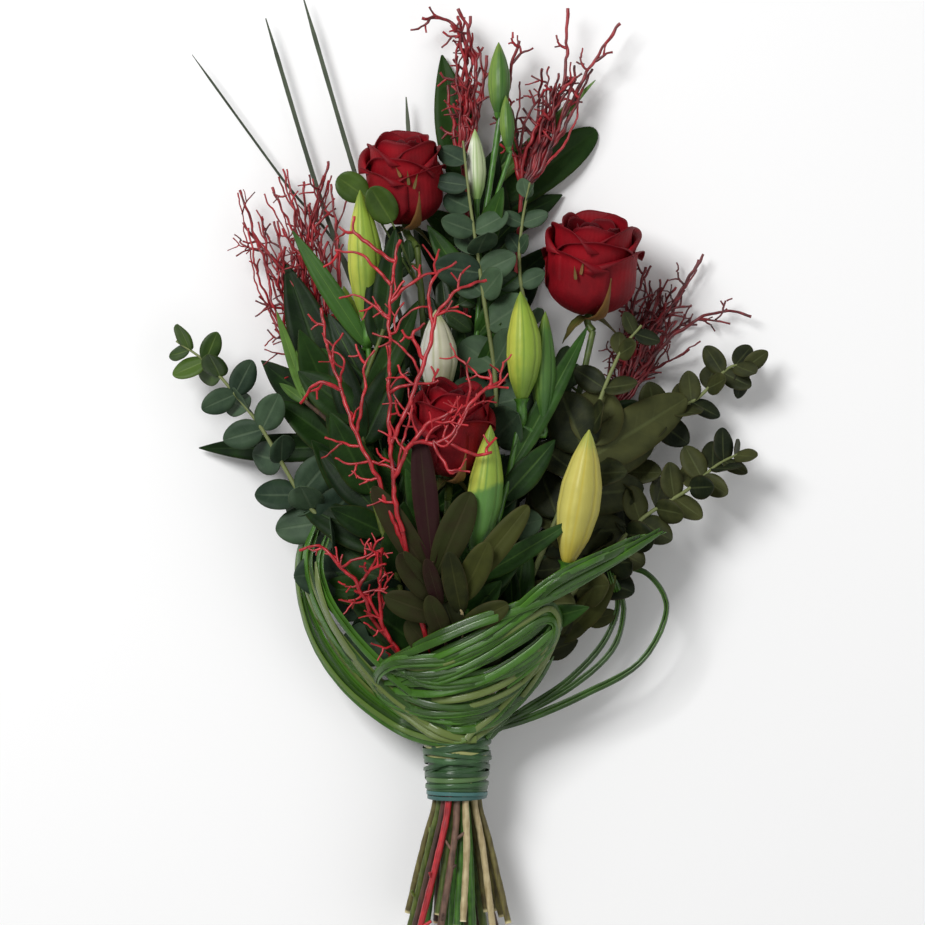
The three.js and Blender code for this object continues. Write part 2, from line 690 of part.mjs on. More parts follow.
// Every stem: its row, its place in the row, and its head points on the layout grid from low to high.
const STEMS = {
  blades: { row: 0, place: 0, slim: true, head: [[441, 640], [430, 560]] },
  topLeaves: { row: 0, place: 1, slim: true, head: [[462, 560], [482, 400], [484, 280], [468, 190]] },
  coralRight: { row: 0, place: 2, slim: true, head: [[520, 600], [570, 500], [612, 415]] },
  coralLeft: { row: 1, place: 0, slim: true, head: [[418, 620], [372, 490], [325, 415]] },
  coralTop: { row: 1, place: 1, slim: true, head: [[452, 560], [462, 380], [468, 240], [462, 150]] },
  coralTopRight: { row: 1, place: 2, slim: true, head: [[478, 560], [505, 400], [516, 280], [522, 190]] },
  gumRightUpper: {
    row: 1, place: 3, slim: true, tip: 0.9,
    head: [[530, 620], [590, 540], [622, 480], [660, 420], [700, 398], [735, 365], [757, 372]],
  },
  leftLeaves: { row: 2, place: 0, slim: true, head: [[408, 620], [378, 520], [348, 440], [330, 400]] },
  roseTop: { row: 2, place: 1, tip: 2.6, head: [[436, 600], [428, 450], [424, 340], [417, 246]] },
  lilyTop: { row: 2, place: 2, tip: 2, head: [[455, 600], [468, 450], [478, 320], [481, 240]] },
  roseRight: { row: 2, place: 3, tip: 2.6, head: [[490, 620], [530, 520], [572, 420], [594, 330]] },
  gumRightLower: {
    row: 2, place: 4, slim: true, tip: 0.9,
    head: [[530, 640], [578, 590], [610, 555], [645, 518], [690, 490], [720, 465], [750, 450]],
  },
  gumLeft: {
    row: 3, place: 0, slim: true, tip: 0.9,
    head: [[392, 640], [350, 570], [322, 522], [300, 495], [262, 430], [235, 395], [205, 362], [174, 340]],
  },
  lilyLeft: { row: 3, place: 1, tip: 2.4, head: [[416, 620], [394, 500], [374, 400], [368, 345]] },
  lilyCream: { row: 3, place: 2, tip: 2.4, head: [[440, 600], [434, 500], [436, 412]] },
  gumTop: {
    row: 3, place: 3, slim: true, tip: 0.9,
    head: [[470, 600], [490, 480], [496, 390], [484, 300], [477, 250], [469, 195], [463, 140]],
  },
  gumInner: {
    row: 3, place: 4, slim: true, tip: 0.9,
    head: [[490, 600], [522, 460, -6], [532, 350, -8], [520, 275, -8], [522, 225, -6], [530, 182]],
  },
  gumRound: {
    row: 3, place: 5, slim: true, tip: 1.1,
    head: [[515, 620], [556, 520], [585, 450], [602, 395], [622, 350], [642, 325]],
  },
  darkLeaves: { row: 4, place: 0, slim: true, head: [[404, 600], [372, 490], [362, 400], [384, 330]] },
  lilyCentre: { row: 4, place: 2, tip: 2.4, head: [[470, 600], [500, 510], [519, 425]] },
  lilyPale: { row: 4, place: 3, tip: 2.6, head: [[500, 640], [540, 600], [560, 582]] },
  rightLeaves: { row: 4, place: 4, slim: true, head: [[520, 675, -4], [560, 640, -18], [588, 622, -22]] },
  coralLow: { row: 5, place: 0, slim: true, head: [[427, 690], [396, 650], [368, 612]] },
  roseFront: { row: 5, place: 1, tip: 2.8, head: [[442, 640], [446, 560], [448, 500, -2]] },
  lilyFront: { row: 5, place: 2, tip: 2.8, head: [[464, 650], [470, 600], [474, 572]] },
  coralFront: { row: 6, place: 0, slim: true, head: [[433, 660], [417, 600], [404, 530]] },
  maroonLeaves: { row: 6, place: 1, slim: true, head: [[449, 660], [440, 600], [432, 560]] },
  oliveLeaves: { row: 6, place: 2, slim: true, head: [[464, 660], [462, 620], [459, 590]] },
};

const paths = {
  blades: putStem(blades, STEMS.blades),
  topLeaves: putStem(topLeaves, STEMS.topLeaves),
  coralRight: putStem(coralRight, STEMS.coralRight),
  coralLeft: putStem(coralLeft, STEMS.coralLeft),
  coralTop: putStem(coralTop, STEMS.coralTop),
  coralTopRight: putStem(coralTopRight, STEMS.coralTopRight),
  gumRightUpper: putStem(gumRightUpper, STEMS.gumRightUpper),
  leftLeaves: putStem(leftLeaves, STEMS.leftLeaves),
  roseTop: putStem(roseTopStem, STEMS.roseTop),
  lilyTop: putStem(lilyTopStem, STEMS.lilyTop),
  roseRight: putStem(roseRightStem, STEMS.roseRight),
  gumRightLower: putStem(gumRightLower, STEMS.gumRightLower),
  gumLeft: putStem(gumLeft, STEMS.gumLeft),
  lilyLeft: putStem(lilyLeftStem, STEMS.lilyLeft),
  lilyCream: putStem(lilyCreamStem, STEMS.lilyCream),
  gumTop: putStem(gumTop, STEMS.gumTop),
  gumInner: putStem(gumInner, STEMS.gumInner),
  gumRound: putStem(gumRound, STEMS.gumRound),
  darkLeaves: putStem(darkLeaves, STEMS.darkLeaves),
  lilyCentre: putStem(lilyCentreStem, STEMS.lilyCentre),
  lilyPale: putStem(lilyPaleStem, STEMS.lilyPale),
  rightLeaves: putStem(rightLeaves, STEMS.rightLeaves),
  coralLow: putStem(coralLow, STEMS.coralLow),
  roseFront: putStem(roseFrontStem, STEMS.roseFront),
  lilyFront: putStem(lilyFrontStem, STEMS.lilyFront),
  coralFront: putStem(coralFront, STEMS.coralFront),
  maroonLeaves: putStem(maroonLeaves, STEMS.maroonLeaves),
  oliveLeaves: putStem(oliveLeaves, STEMS.oliveLeaves),
};

// Blooms.
const ROSES = {
  top: { centre: at(404, 176, 2, 4), axis: vec(-0.12, 1, 0.42).normalize(), radius: 32, seed: 11 },
  right: { centre: at(592, 264, 2, 12), axis: vec(0.1, 1, 0.46).normalize(), radius: 37, seed: 23 },
  front: { centre: at(451, 428, 5, -6), axis: vec(0.05, 1, 0.5).normalize(), radius: 31, seed: 37 },
};
putRose(roseTopBloom, ROSES.top);
putRose(roseRightBloom, ROSES.right);
putRose(roseFrontBloom, ROSES.front);

// A stalk from the top of a stem to the foot of a bud or bloom, which it meets square to its axis.
function putStalk(owner, from, foot, axis, radius) {
  const end = foot.clone().addScaledVector(axis, -CLEARANCE);
  const neck = foot.clone().addScaledVector(axis, -3 * radius);
  const path = [from, neck, end.clone().addScaledVector(axis, -1), end];
  put(owner, rod(path, () => radius, 5));
}

function putBud({ bud: owner, stem, path, row, foot, tip, radius, lift = 0, rise = 0 }) {
  const base = at(foot[0], foot[1], row, lift);
  const point = at(tip[0], tip[1], row, lift + rise);
  put(owner, bud({ base, tip: point, radius }));
  const axis = point.clone().sub(base).normalize();
  putStalk(stem, path[path.length - 1], base, axis, radius * 0.28);
}

const topStem = { stem: lilyTopStem, path: paths.lilyTop, row: 2 };
const leftStem = { stem: lilyLeftStem, path: paths.lilyLeft, row: 3 };
const creamStem = { stem: lilyCreamStem, path: paths.lilyCream, row: 3 };
const centreStem = { stem: lilyCentreStem, path: paths.lilyCentre, row: 4 };
const paleStem = { stem: lilyPaleStem, path: paths.lilyPale, row: 4 };
const frontStem = { stem: lilyFrontStem, path: paths.lilyFront, row: 5 };
const BUDS = [
  { bud: lilyTopBudWhite, ...topStem, foot: [477, 203], tip: [475, 127], radius: 8, lift: 6 },
  { bud: lilyTopBudGreen, ...topStem, foot: [499, 115], tip: [499, 38], radius: 9 },
  { bud: lilyTopBudSmall, ...topStem, foot: [509, 150], tip: [506, 93], radius: 6, lift: 8 },
  { bud: lilyLeftBud, ...leftStem, foot: [367, 326], tip: [360, 190], radius: 14, lift: 4, rise: 4 },
  { bud: lilyLeftBudSmall, ...leftStem, foot: [353, 350], tip: [343, 285], radius: 8, lift: -16 },
  { bud: lilyCreamBud, ...creamStem, foot: [438, 401], tip: [436, 310], radius: 15, rise: 8 },
  { bud: lilyCentreBud, ...centreStem, foot: [521, 404], tip: [520, 293], radius: 14, lift: 6, rise: 4 },
  { bud: lilyCentreBudDark, ...centreStem, foot: [543, 425], tip: [545, 312], radius: 10, lift: -4 },
  { bud: lilyPaleBud, ...paleStem, foot: [566, 566], tip: [588, 430], radius: 17, lift: 12, rise: 6 },
  { bud: lilyFrontBud, ...frontStem, foot: [474, 557], tip: [490, 426], radius: 14, lift: 10, rise: 10 },
];
BUDS.forEach(putBud);

for (const [owner, path, rose] of [
  [roseTopStem, paths.roseTop, ROSES.top],
  [roseRightStem, paths.roseRight, ROSES.right],
  [roseFrontStem, paths.roseFront, ROSES.front],
]) {
  const foot = rose.centre.clone().addScaledVector(rose.axis, -rose.radius * ROSE_FOOT);
  putStalk(owner, path[path.length - 1], foot, rose.axis, 3);
  putSepals(owner, rose);
}

// The binding of wound grass, and the tie under it.
const turnHeight = (BINDING_TOP - BINDING_BOTTOM) / BINDING_TURNS;
const bindingOutline = [[BINDING_INNER, BINDING_TOP], [BINDING_INNER, BINDING_BOTTOM]];
for (let k = 0; k < BINDING_TURNS; k += 1) {
  const low = BINDING_BOTTOM + k * turnHeight;
  bindingOutline.push([BINDING_OUTER - 1.6, low + 0.1 * turnHeight], [BINDING_OUTER, low + 0.5 * turnHeight]);
}
bindingOutline.push([BINDING_OUTER - 1.6, BINDING_TOP]);
put(binding, ring(bindingOutline, 14));
const tieOutline = [
  [BINDING_INNER, TIE_TOP], [BINDING_INNER, TIE_BOTTOM], [TIE_OUTER, TIE_BOTTOM], [TIE_OUTER, TIE_TOP],
];
put(tie, ring(tieOutline, 16));

// Grass round the foot of the head.
// Their points are [px, py, lift] on the layout grid.
const collarStrands = [
  [[436, 733], [404, 714], [356, 680], [322, 634], [304, 590], [302, 548]],
  [[441, 733], [414, 706], [370, 672], [338, 632], [318, 592], [312, 556]],
  [[446, 733], [428, 700], [386, 664], [354, 628], [334, 596], [326, 566]],
];
collarStrands.forEach((strand, k) => {
  putStrand(collar, strand.map(([px, py]) => bowlPoint(px, py, -0.5 * k)), 7);
});

const frontStrands = [
  [[458, 733], [470, 708], [510, 676], [560, 636], [610, 590, 12], [655, 534, 30]],
  [[386, 664], [430, 650], [480, 628], [530, 600], [590, 566, 8], [640, 540, 28]],
  [[378, 668], [428, 659], [484, 641], [540, 610], [592, 578, 8], [646, 536, 28]],
  [[374, 674], [430, 672], [490, 656], [546, 622], [594, 590, 6]],
  [[384, 686], [436, 686], [498, 670], [552, 634], [598, 598, 6]],
  [[390, 694], [440, 698], [500, 684], [556, 648], [592, 616]],
  [[408, 708], [446, 711], [500, 698], [548, 670], [580, 642]],
];
frontStrands.forEach((strand, k) => {
  putStrand(collar, strand.map(([px, py, lift = 0]) => bowlPoint(px, py, lift + 0.7 * (k % 3))), 6);
});

const loopStrands = [
  [[490, 733], [532, 719], [584, 696], [640, 664], [667, 612], [650, 577, -4], [616, 566, -14]],
  [[489.2, 733], [524, 712], [566, 684], [602, 646], [616, 606, -4], [606, 574, -14]],
];
loopStrands.forEach((strand) => {
  putStrand(loops, strand.map(([px, py, lift = 0]) => bowlPoint(px, py, lift)), 3.6);
});

const uprights = [
  [[438, 620], [400, 420], [345, 260], [280, 175], [187, 47]],
  [[435, 600], [414, 450], [370, 330], [320, 200], [262, 10]],
  [[431, 566], [424, 440], [398, 310], [355, 175], [300, -12]],
  [[430, 561], [432, 400], [415, 230], [405, 90]],
];
uprights.forEach((strand, k) => {
  const path = strand.map(([px, py]) => at(px, py, 0));
  path[0] = nearestOn(paths.blades, path[0]);
  put(blades, rod(path, (f) => (k ? 2.6 : 1.3) * (1 - 0.6 * f), 4, { flat: 0.5 }));
});

// Leaves on hand-picked spots.
putNamedLeaves(topLeaves, paths.topLeaves, 0, [
  [463, 165, 443, 50, 28, 4],
  [520, 205, 597, 128, 32, 0],
  [478, 240, 420, 205, 26, 0],
  [484, 300, 560, 240, 26, 0],
  [480, 190, 586, 84, 14, 8],
  [478, 390, 600, 404, 26, -17],
]);
putNamedLeaves(leftLeaves, paths.leftLeaves, 2, [
  [352, 445, 283, 272, 34, 0],
  [385, 520, 187, 450, 25, -44],
  [340, 420, 275, 240, 14, 10],
  [332, 402, 300, 300, 14, -8],
]);
putNamedLeaves(darkLeaves, paths.darkLeaves, 4, [
  [384, 335, 396, 238, 20, 0],
  [370, 440, 330, 340, 24, 6],
  [366, 410, 420, 300, 22, -6],
  [378, 510, 318, 450, 26, 0],
]);
putNamedLeaves(lilyCentreStem, paths.lilyCentre, 4, [
  [512, 470, 590, 325, 20, 4],
  [505, 500, 556, 440, 26, 4],
  [500, 520, 470, 420, 20, -4],
]);
putNamedLeaves(rightLeaves, paths.rightLeaves, 4, [
  [560, 640, 606, 596, 24, -18],
  [545, 652, 580, 642, 22, -16],
  [588, 622, 636, 618, 20, -22],
  [560, 640, 548, 590, 20, -20],
]);
putNamedLeaves(lilyFrontStem, paths.lilyFront, 5, [
  [474, 580, 572, 522, 20, 8],
]);
putNamedLeaves(maroonLeaves, paths.maroonLeaves, 6, [
  [433, 560, 423, 438, 27, 10],
  [437, 585, 378, 495, 26, 14],
  [435, 575, 470, 495, 24, 8],
  [440, 600, 402, 560, 22, 20],
  [442, 615, 392, 606, 22, 18],
], OVAL);
putNamedLeaves(oliveLeaves, paths.oliveLeaves, 6, [
  [459, 590, 526, 508, 24, 4],
  [460, 600, 490, 540, 22, 12],
  [462, 612, 450, 556, 22, 20],
  [462, 625, 505, 604, 20, 16],
], OVAL);

// Rose leaves.
for (const [owner, path, spots] of [
  [roseTopStem, paths.roseTop, [[0.55, 1], [0.8, -1]]],
  [roseRightStem, paths.roseRight, [[0.55, 1], [0.8, -1]]],
]) {
  for (const [fraction, hand] of spots) {
    const { point, along, side } = placeOn(path, fraction);
    putRoseLeaf(owner, point, blend([along, 0.5], [side, hand]), ROSE_LEAF_LENGTH);
  }
}

// Eucalyptus leaves in pairs.
putPairs(gumLeft, paths.gumLeft, { seed: 101, pairs: 8, from: 0.5, large: 36, small: 15 });
putPairs(gumTop, paths.gumTop, { seed: 103, pairs: 7, from: 0.5, large: 29, small: 18 });
putPairs(gumRightLower, paths.gumRightLower, { seed: 105, pairs: 7, from: 0.45, large: 30, small: 16 });
putPairs(gumRightUpper, paths.gumRightUpper, { seed: 107, pairs: 7, from: 0.45, large: 31, small: 16 });
putPairs(gumInner, paths.gumInner, { seed: 109, pairs: 5, from: 0.52, large: 26, small: 20 });
putPairs(gumRound, paths.gumRound, { seed: 111, pairs: 5, from: 0.45, large: 37, small: 22 });

// Leaves in turn round the stems.
const LEAFY_STEMS = [
  { owner: lilyLeftStem, path: paths.lilyLeft, seed: 201, count: 6, from: 0.45, length: 62, width: 14 },
  { owner: lilyCreamStem, path: paths.lilyCream, seed: 203, count: 4, from: 0.5, length: 58, width: 14 },
  { owner: lilyCentreStem, path: paths.lilyCentre, seed: 205, count: 4, from: 0.5, length: 62, width: 15 },
  { owner: lilyPaleStem, path: paths.lilyPale, seed: 207, count: 4, from: 0.5, length: 56, width: 15 },
  { owner: lilyTopStem, path: paths.lilyTop, seed: 209, count: 6, from: 0.45, length: 58, width: 13 },
  { owner: lilyFrontStem, path: paths.lilyFront, seed: 211, count: 4, from: 0.55, length: 46, width: 14 },
  { owner: topLeaves, path: paths.topLeaves, seed: 213, count: 4, from: 0.5, length: 66, width: 22 },
  { owner: darkLeaves, path: paths.darkLeaves, seed: 215, count: 4, from: 0.5, length: 58, width: 20 },
  { owner: rightLeaves, path: paths.rightLeaves, seed: 217, count: 4, from: 0.6, length: 40, width: 20 },
];
LEAFY_STEMS.forEach(putStemLeaves);

// Painted twigs.
putArms(coralFront, paths.coralFront, {
  seed: 301, row: 6, radius: 2, twigs: 2, length: 34,
  arms: [
    [[405, 530], [398, 450, 2], [393, 330, 0], [402, 245, -8]],
    [[405, 520], [380, 490, 2], [350, 440, 0], [325, 310, -16]],
    [[398, 450], [430, 380, 4], [455, 300, 0], [486, 282, -6]],
    [[402, 500], [437, 470, 8], [492, 450, 6]],
    [[430, 380, 3], [465, 350, 2], [505, 385, 0]],
  ],
});
putArms(coralLow, paths.coralLow, {
  seed: 303, row: 5, radius: 1.8, twigs: 2, length: 24,
  arms: [
    [[368, 612], [350, 580, 4], [325, 548, 2], [300, 550, 0]],
    [[385, 640], [376, 590, 8], [380, 548, 8]],
  ],
});
putArms(coralLeft, paths.coralLeft, {
  seed: 305, row: 1, radius: 1.8, twigs: 2, length: 42,
  arms: [
    [[325, 415], [300, 330], [272, 250], [240, 190]],
    [[322, 400], [318, 320], [310, 240], [305, 175]],
    [[330, 425], [290, 290], [255, 265]],
  ],
});
putArms(coralTop, paths.coralTop, {
  seed: 307, row: 1, radius: 1.7, twigs: 2, length: 38,
  arms: [
    [[462, 155], [463, 110], [470, 60], [458, 2]],
    [[462, 150], [478, 100], [488, 50]],
  ],
});
putArms(coralTopRight, paths.coralTopRight, {
  seed: 309, row: 1, radius: 1.8, twigs: 2, length: 38,
  arms: [
    [[522, 190], [535, 130], [560, 80], [568, 0]],
    [[522, 190], [560, 150], [598, 90], [622, 18]],
    [[522, 185], [520, 120], [512, 30]],
  ],
});
putArms(coralRight, paths.coralRight, {
  seed: 311, row: 0, radius: 1.8, twigs: 2, length: 38,
  arms: [
    [[612, 415], [640, 360], [672, 310], [708, 250]],
    [[612, 410], [650, 370], [700, 330], [755, 312]],
    [[615, 400], [630, 330], [650, 262]],
  ],
});

// ------------------------------------------------------------------------------------- the assembly

// One node's solids as one body, trimmed flat where it meets the surface.
function bodyOf(made) {
  const joined = wasm.Manifold.union(made.solids).trimByPlane([0, 0, 1], 0).simplify(SLIVER);
  const bodies = joined.decompose();
  return bodies.reduce((a, b) => (b.volume() > a.volume() ? b : a));
}

function meshOf(made, solid) {
  const { vertProperties, triVerts } = solid.getMesh();
  const geometry = new THREE.BufferGeometry();
  geometry.setAttribute("position", new THREE.BufferAttribute(vertProperties, 3));
  geometry.setIndex(new THREE.BufferAttribute(triVerts, 1));
  geometry.computeVertexNormals();
  const material = new THREE.MeshStandardMaterial({
    color: made.colour,
    roughness: made.roughness,
    metalness: 0,
  });
  const mesh = new THREE.Mesh(geometry, material);
  mesh.name = made.name;
  return mesh;
}

const bouquet = new THREE.Group();
for (const made of nodes) {
  bouquet.add(meshOf(made, bodyOf(made)));
}

// The origin stands on the surface under the middle of the bouquet.
const box = new THREE.Box3().setFromObject(bouquet);
const middle = box.getCenter(vec(0, 0, 0));
bouquet.position.set(-middle.x, -middle.y, -box.min.z);

export default bouquet;
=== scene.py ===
"""A mixed flower bouquet, bound with wound grass and lying on its back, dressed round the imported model.

Lengths are in metres. Heads and stems are laid out as in the model, on a grid of PIXEL-sized steps seen
from above and in seven rows of depth. Until a piece is made, its points count from the middle of the neck.
"""
import math

import bpy
import numpy as np
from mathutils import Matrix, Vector


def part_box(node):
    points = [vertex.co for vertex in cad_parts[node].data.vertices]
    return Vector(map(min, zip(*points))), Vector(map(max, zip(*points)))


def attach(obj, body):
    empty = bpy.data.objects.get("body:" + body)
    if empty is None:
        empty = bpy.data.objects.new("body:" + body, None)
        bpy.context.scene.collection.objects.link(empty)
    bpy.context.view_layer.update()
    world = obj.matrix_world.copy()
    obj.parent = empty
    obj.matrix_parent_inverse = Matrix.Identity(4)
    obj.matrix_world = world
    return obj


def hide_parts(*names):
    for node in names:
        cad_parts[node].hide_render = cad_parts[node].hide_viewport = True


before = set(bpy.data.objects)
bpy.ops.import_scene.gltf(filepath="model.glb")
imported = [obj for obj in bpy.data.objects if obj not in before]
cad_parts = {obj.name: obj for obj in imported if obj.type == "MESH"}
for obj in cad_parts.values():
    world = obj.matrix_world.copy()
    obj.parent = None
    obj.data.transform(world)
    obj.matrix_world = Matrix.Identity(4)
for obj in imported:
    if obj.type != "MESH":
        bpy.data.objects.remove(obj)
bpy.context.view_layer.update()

# -------------------------------------------------------------------------------- driving dimensions

MILLIMETRE = 0.001
PIXEL = 0.0008  # one step of the layout grid
NECK_PIXEL = (457, 762)  # where the middle of the neck lies on the grid
BINDING_TOP = 0.022
BINDING_BOTTOM = -0.017
TIE_TOP = -0.0255
TIE_BOTTOM = -0.0305
STEM_PITCH = 0.0067
ROW_PITCH = STEM_PITCH * math.sqrt(3) / 2
ROW_STEMS = [3, 4, 5, 6, 5, 4, 3]  # from the back row to the front row
ROW_HEIGHTS = [0.014, 0.036, 0.058, 0.080, 0.102, 0.124, 0.152]
MIDDLE_ROW = 3
FRONT_ROW = 6
HEAD_START = 0.026
HEAD_FULL = 0.190
DOME_HALF_WIDTH = 0.240
DOME_TOP_START = 0.330
DOME_LENGTH = 0.320
DOME_FLOOR = 0.018
DOME_FALL = 0.5
SPLAY_START = 0.030
SPLAY_LENGTH = 0.130
SPLAY_WIDE = 2.0
SPLAY_DEEP = 1.15
SPLAY_TURN = math.radians(20)
SPLAY_SAG = 0.014
CUT_NEAR = 0.122
CUT_SPREAD = 0.038
STEM_RADIUS = 0.0032
SLIM_STEM_RADIUS = 0.0027
LEAF_THICKNESS = 0.0006  # of petals too
SURFACE_GAP = 0.0004  # what would reach below the surface is laid flat on it
BOWL_NECK = 0.026
BOWL_OPENING = 0.102
BOWL_HEIGHT = 0.145
BOWL_MARGIN = 0.011
NEST_HEIGHT = 0.125
NEST_LEAN = 0.012  # the nest reaches further to the left than to the right
LEAF_START = 0.058
ROSE_FOOT = 1.12  # from the middle of a bloom down to its foot, in its radii
GOLDEN_TURN = math.radians(137.5)  # from one leaf to the next round a stem
FLAT = (1, 1, 0)  # takes the height out of a point

# The neck stands where the frame says.
neck_low, neck_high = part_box("neck_binding")
NECK = np.array([(neck_low.x + neck_high.x) / 2, neck_low.y - BINDING_BOTTOM, 0.0])
NECK_HEIGHT = (neck_low.z + neck_high.z) / 2

X = np.array([1.0, 0.0, 0.0])
Y = np.array([0.0, 1.0, 0.0])
Z = np.array([0.0, 0.0, 1.0])


# ---------------------------------------------------------------------------------------- small tools

def clamp01(value):
    return min(1.0, max(0.0, value))


def mix(a, b, t):
    return a + (b - a) * t


def unit(vector):
    return vector / np.linalg.norm(vector)


def tapered(root, loss):
    """A rod's radius that shrinks evenly from its root."""
    return lambda f: root - loss * f


def dice(seed):
    """A seeded draw of numbers from 0 to 1, the same as in the model."""
    state = seed

    def draw():
        nonlocal state
        state = (state * 9301 + 49297) % 233280
        return state / 233280

    return draw


def paint(code):
    """A linear colour from its #rrggbb code."""
    parts = [int(code[i:i + 2], 16) / 255 for i in (1, 3, 5)]
    return tuple([c / 12.92 if c <= 0.04045 else ((c + 0.055) / 1.055) ** 2.4 for c in parts] + [1.0])


# --------------------------------------------------------------------------------------------- layout

def row_height(row, x, y):
    """A row's height above the surface, over a point of the plan."""
    neck = NECK_HEIGHT + (row - MIDDLE_ROW) * ROW_PITCH
    opening = clamp01((y - HEAD_START) / (HEAD_FULL - HEAD_START))
    beyond = max(0.0, y - DOME_TOP_START) / DOME_LENGTH
    edge = min(1.0, (x / DOME_HALF_WIDTH) ** 2 + beyond ** 2)
    head = DOME_FLOOR + (ROW_HEIGHTS[row] - DOME_FLOOR) * (1 - DOME_FALL * edge)
    return mix(neck, head, opening)


def plan(px, py):
    """The place of a step of the layout grid, seen from above."""
    return (px - NECK_PIXEL[0]) * PIXEL, (NECK_PIXEL[1] - py) * PIXEL


def at(row, px, py, lift=0.0):
    """The point of a row over a step of the layout grid, lifted off it by so many millimetres."""
    x, y = plan(px, py)
    return np.array([x, y, row_height(row, x, y) + lift * MILLIMETRE])


def bundle_point(row, place, y):
    """A stem's place in the bundle, at a height of the neck and below it, where the stems splay."""
    across = (place - (ROW_STEMS[row] - 1) / 2) * STEM_PITCH
    deep = (row - MIDDLE_ROW) * ROW_PITCH
    out = max(0.0, -y - SPLAY_START) / SPLAY_LENGTH
    turn = SPLAY_TURN * out
    wide = (across * math.cos(turn) - deep * math.sin(turn)) * (1 + SPLAY_WIDE * out)
    high = (across * math.sin(turn) + deep * math.cos(turn)) * (1 + SPLAY_DEEP * out)
    return np.array([wide, y, NECK_HEIGHT - SPLAY_SAG * out + high])


def bowl_height(x, y):
    """The bowl round the foot of the head that the nest of grass stands on."""
    opening = math.sin(math.pi / 2 * clamp01((y - BINDING_TOP) / BOWL_HEIGHT))
    half_width = BOWL_NECK + BOWL_OPENING * opening
    front = row_height(FRONT_ROW, 0, y) + BOWL_MARGIN - NECK_HEIGHT
    return NECK_HEIGHT + front * math.sqrt(max(0.0, 1 - (x / half_width) ** 2))


def bowl_point(px, py, lift=0.0):
    """The point of the bowl over a step of the layout grid, lifted off it by so many millimetres."""
    x, y = plan(px, py)
    return np.array([x, y, bowl_height(x, y) + lift * MILLIMETRE])


def smooth(points, steps=5):
    """A smooth path through points, with so many steps in each stretch."""
    p = np.array(points)
    p = np.vstack([2 * p[0] - p[1], p, 2 * p[-1] - p[-2]])
    path = []
    for before, a, b, after in zip(p, p[1:], p[2:], p[3:]):
        for t in np.arange(steps) / steps:
            cubic = 3 * a - before - 3 * b + after
            square = 2 * before - 5 * a + 4 * b - after
            path.append(a + 0.5 * ((b - before) * t + square * t ** 2 + cubic * t ** 3))
    return np.array(path + [p[-2]])


def place_on(path, fraction):
    """A place along a path, with its own directions: along, side and out."""
    step = clamp01(fraction) * (len(path) - 1)
    i = min(len(path) - 2, int(step))
    along = unit(path[i + 1] - path[i])
    side = unit(np.cross(along, Z))
    return mix(path[i], path[i + 1], step - i), along, side, np.cross(side, along)


def nearest_on(path, target):
    """The point of a path that lies nearest to another point."""
    start, reach = path[:-1], path[1:] - path[:-1]
    t = np.clip(((target - start) * reach).sum(1) / (reach ** 2).sum(1), 0, 1)
    points = start + reach * t[:, None]
    return points[np.argmin(np.linalg.norm(points - target, axis=1))]


# ------------------------------------------------------------------------- node trees as expressions

def adds_node(operation):
    """Two methods of Field that add a node: with the field as its first term, and as its second."""

    def first(self, *others):
        return self.worked_out(operation, self, *others)

    def second(self, other):
        return self.worked_out(operation, other, self)

    return first, second


class Field:
    """A node's output. Sums on it add the nodes that work them out."""

    def __init__(self, graph, socket):
        self.graph = graph
        self.socket = socket

    def worked_out(self, operation, *terms):
        vector = any(isinstance(t, Field) and t.socket.type not in ("VALUE", "INT") for t in terms)
        kind = "ShaderNodeVectorMath" if vector else "ShaderNodeMath"
        return self.graph.node(kind, {"operation": operation}, dict(enumerate(terms)))

    __add__, __radd__ = adds_node("ADD")
    __sub__, __rsub__ = adds_node("SUBTRACT")
    __mul__, __rmul__ = adds_node("MULTIPLY")
    __truediv__, __pow__, __abs__, sin, cos, cross, at_least = (
        adds_node(operation)[0]
        for operation in ("DIVIDE", "POWER", "ABSOLUTE", "SINE", "COSINE", "CROSS_PRODUCT", "MAXIMUM"))

    def ramp(self, low, high, start=0.0, end=1.0):
        """A smooth rise from start to end between two of its values."""
        ends = {"Value": self, "From Min": low, "From Max": high, "To Min": start, "To Max": end}
        return self.graph.node("ShaderNodeMapRange", {"interpolation_type": "SMOOTHSTEP"}, ends)


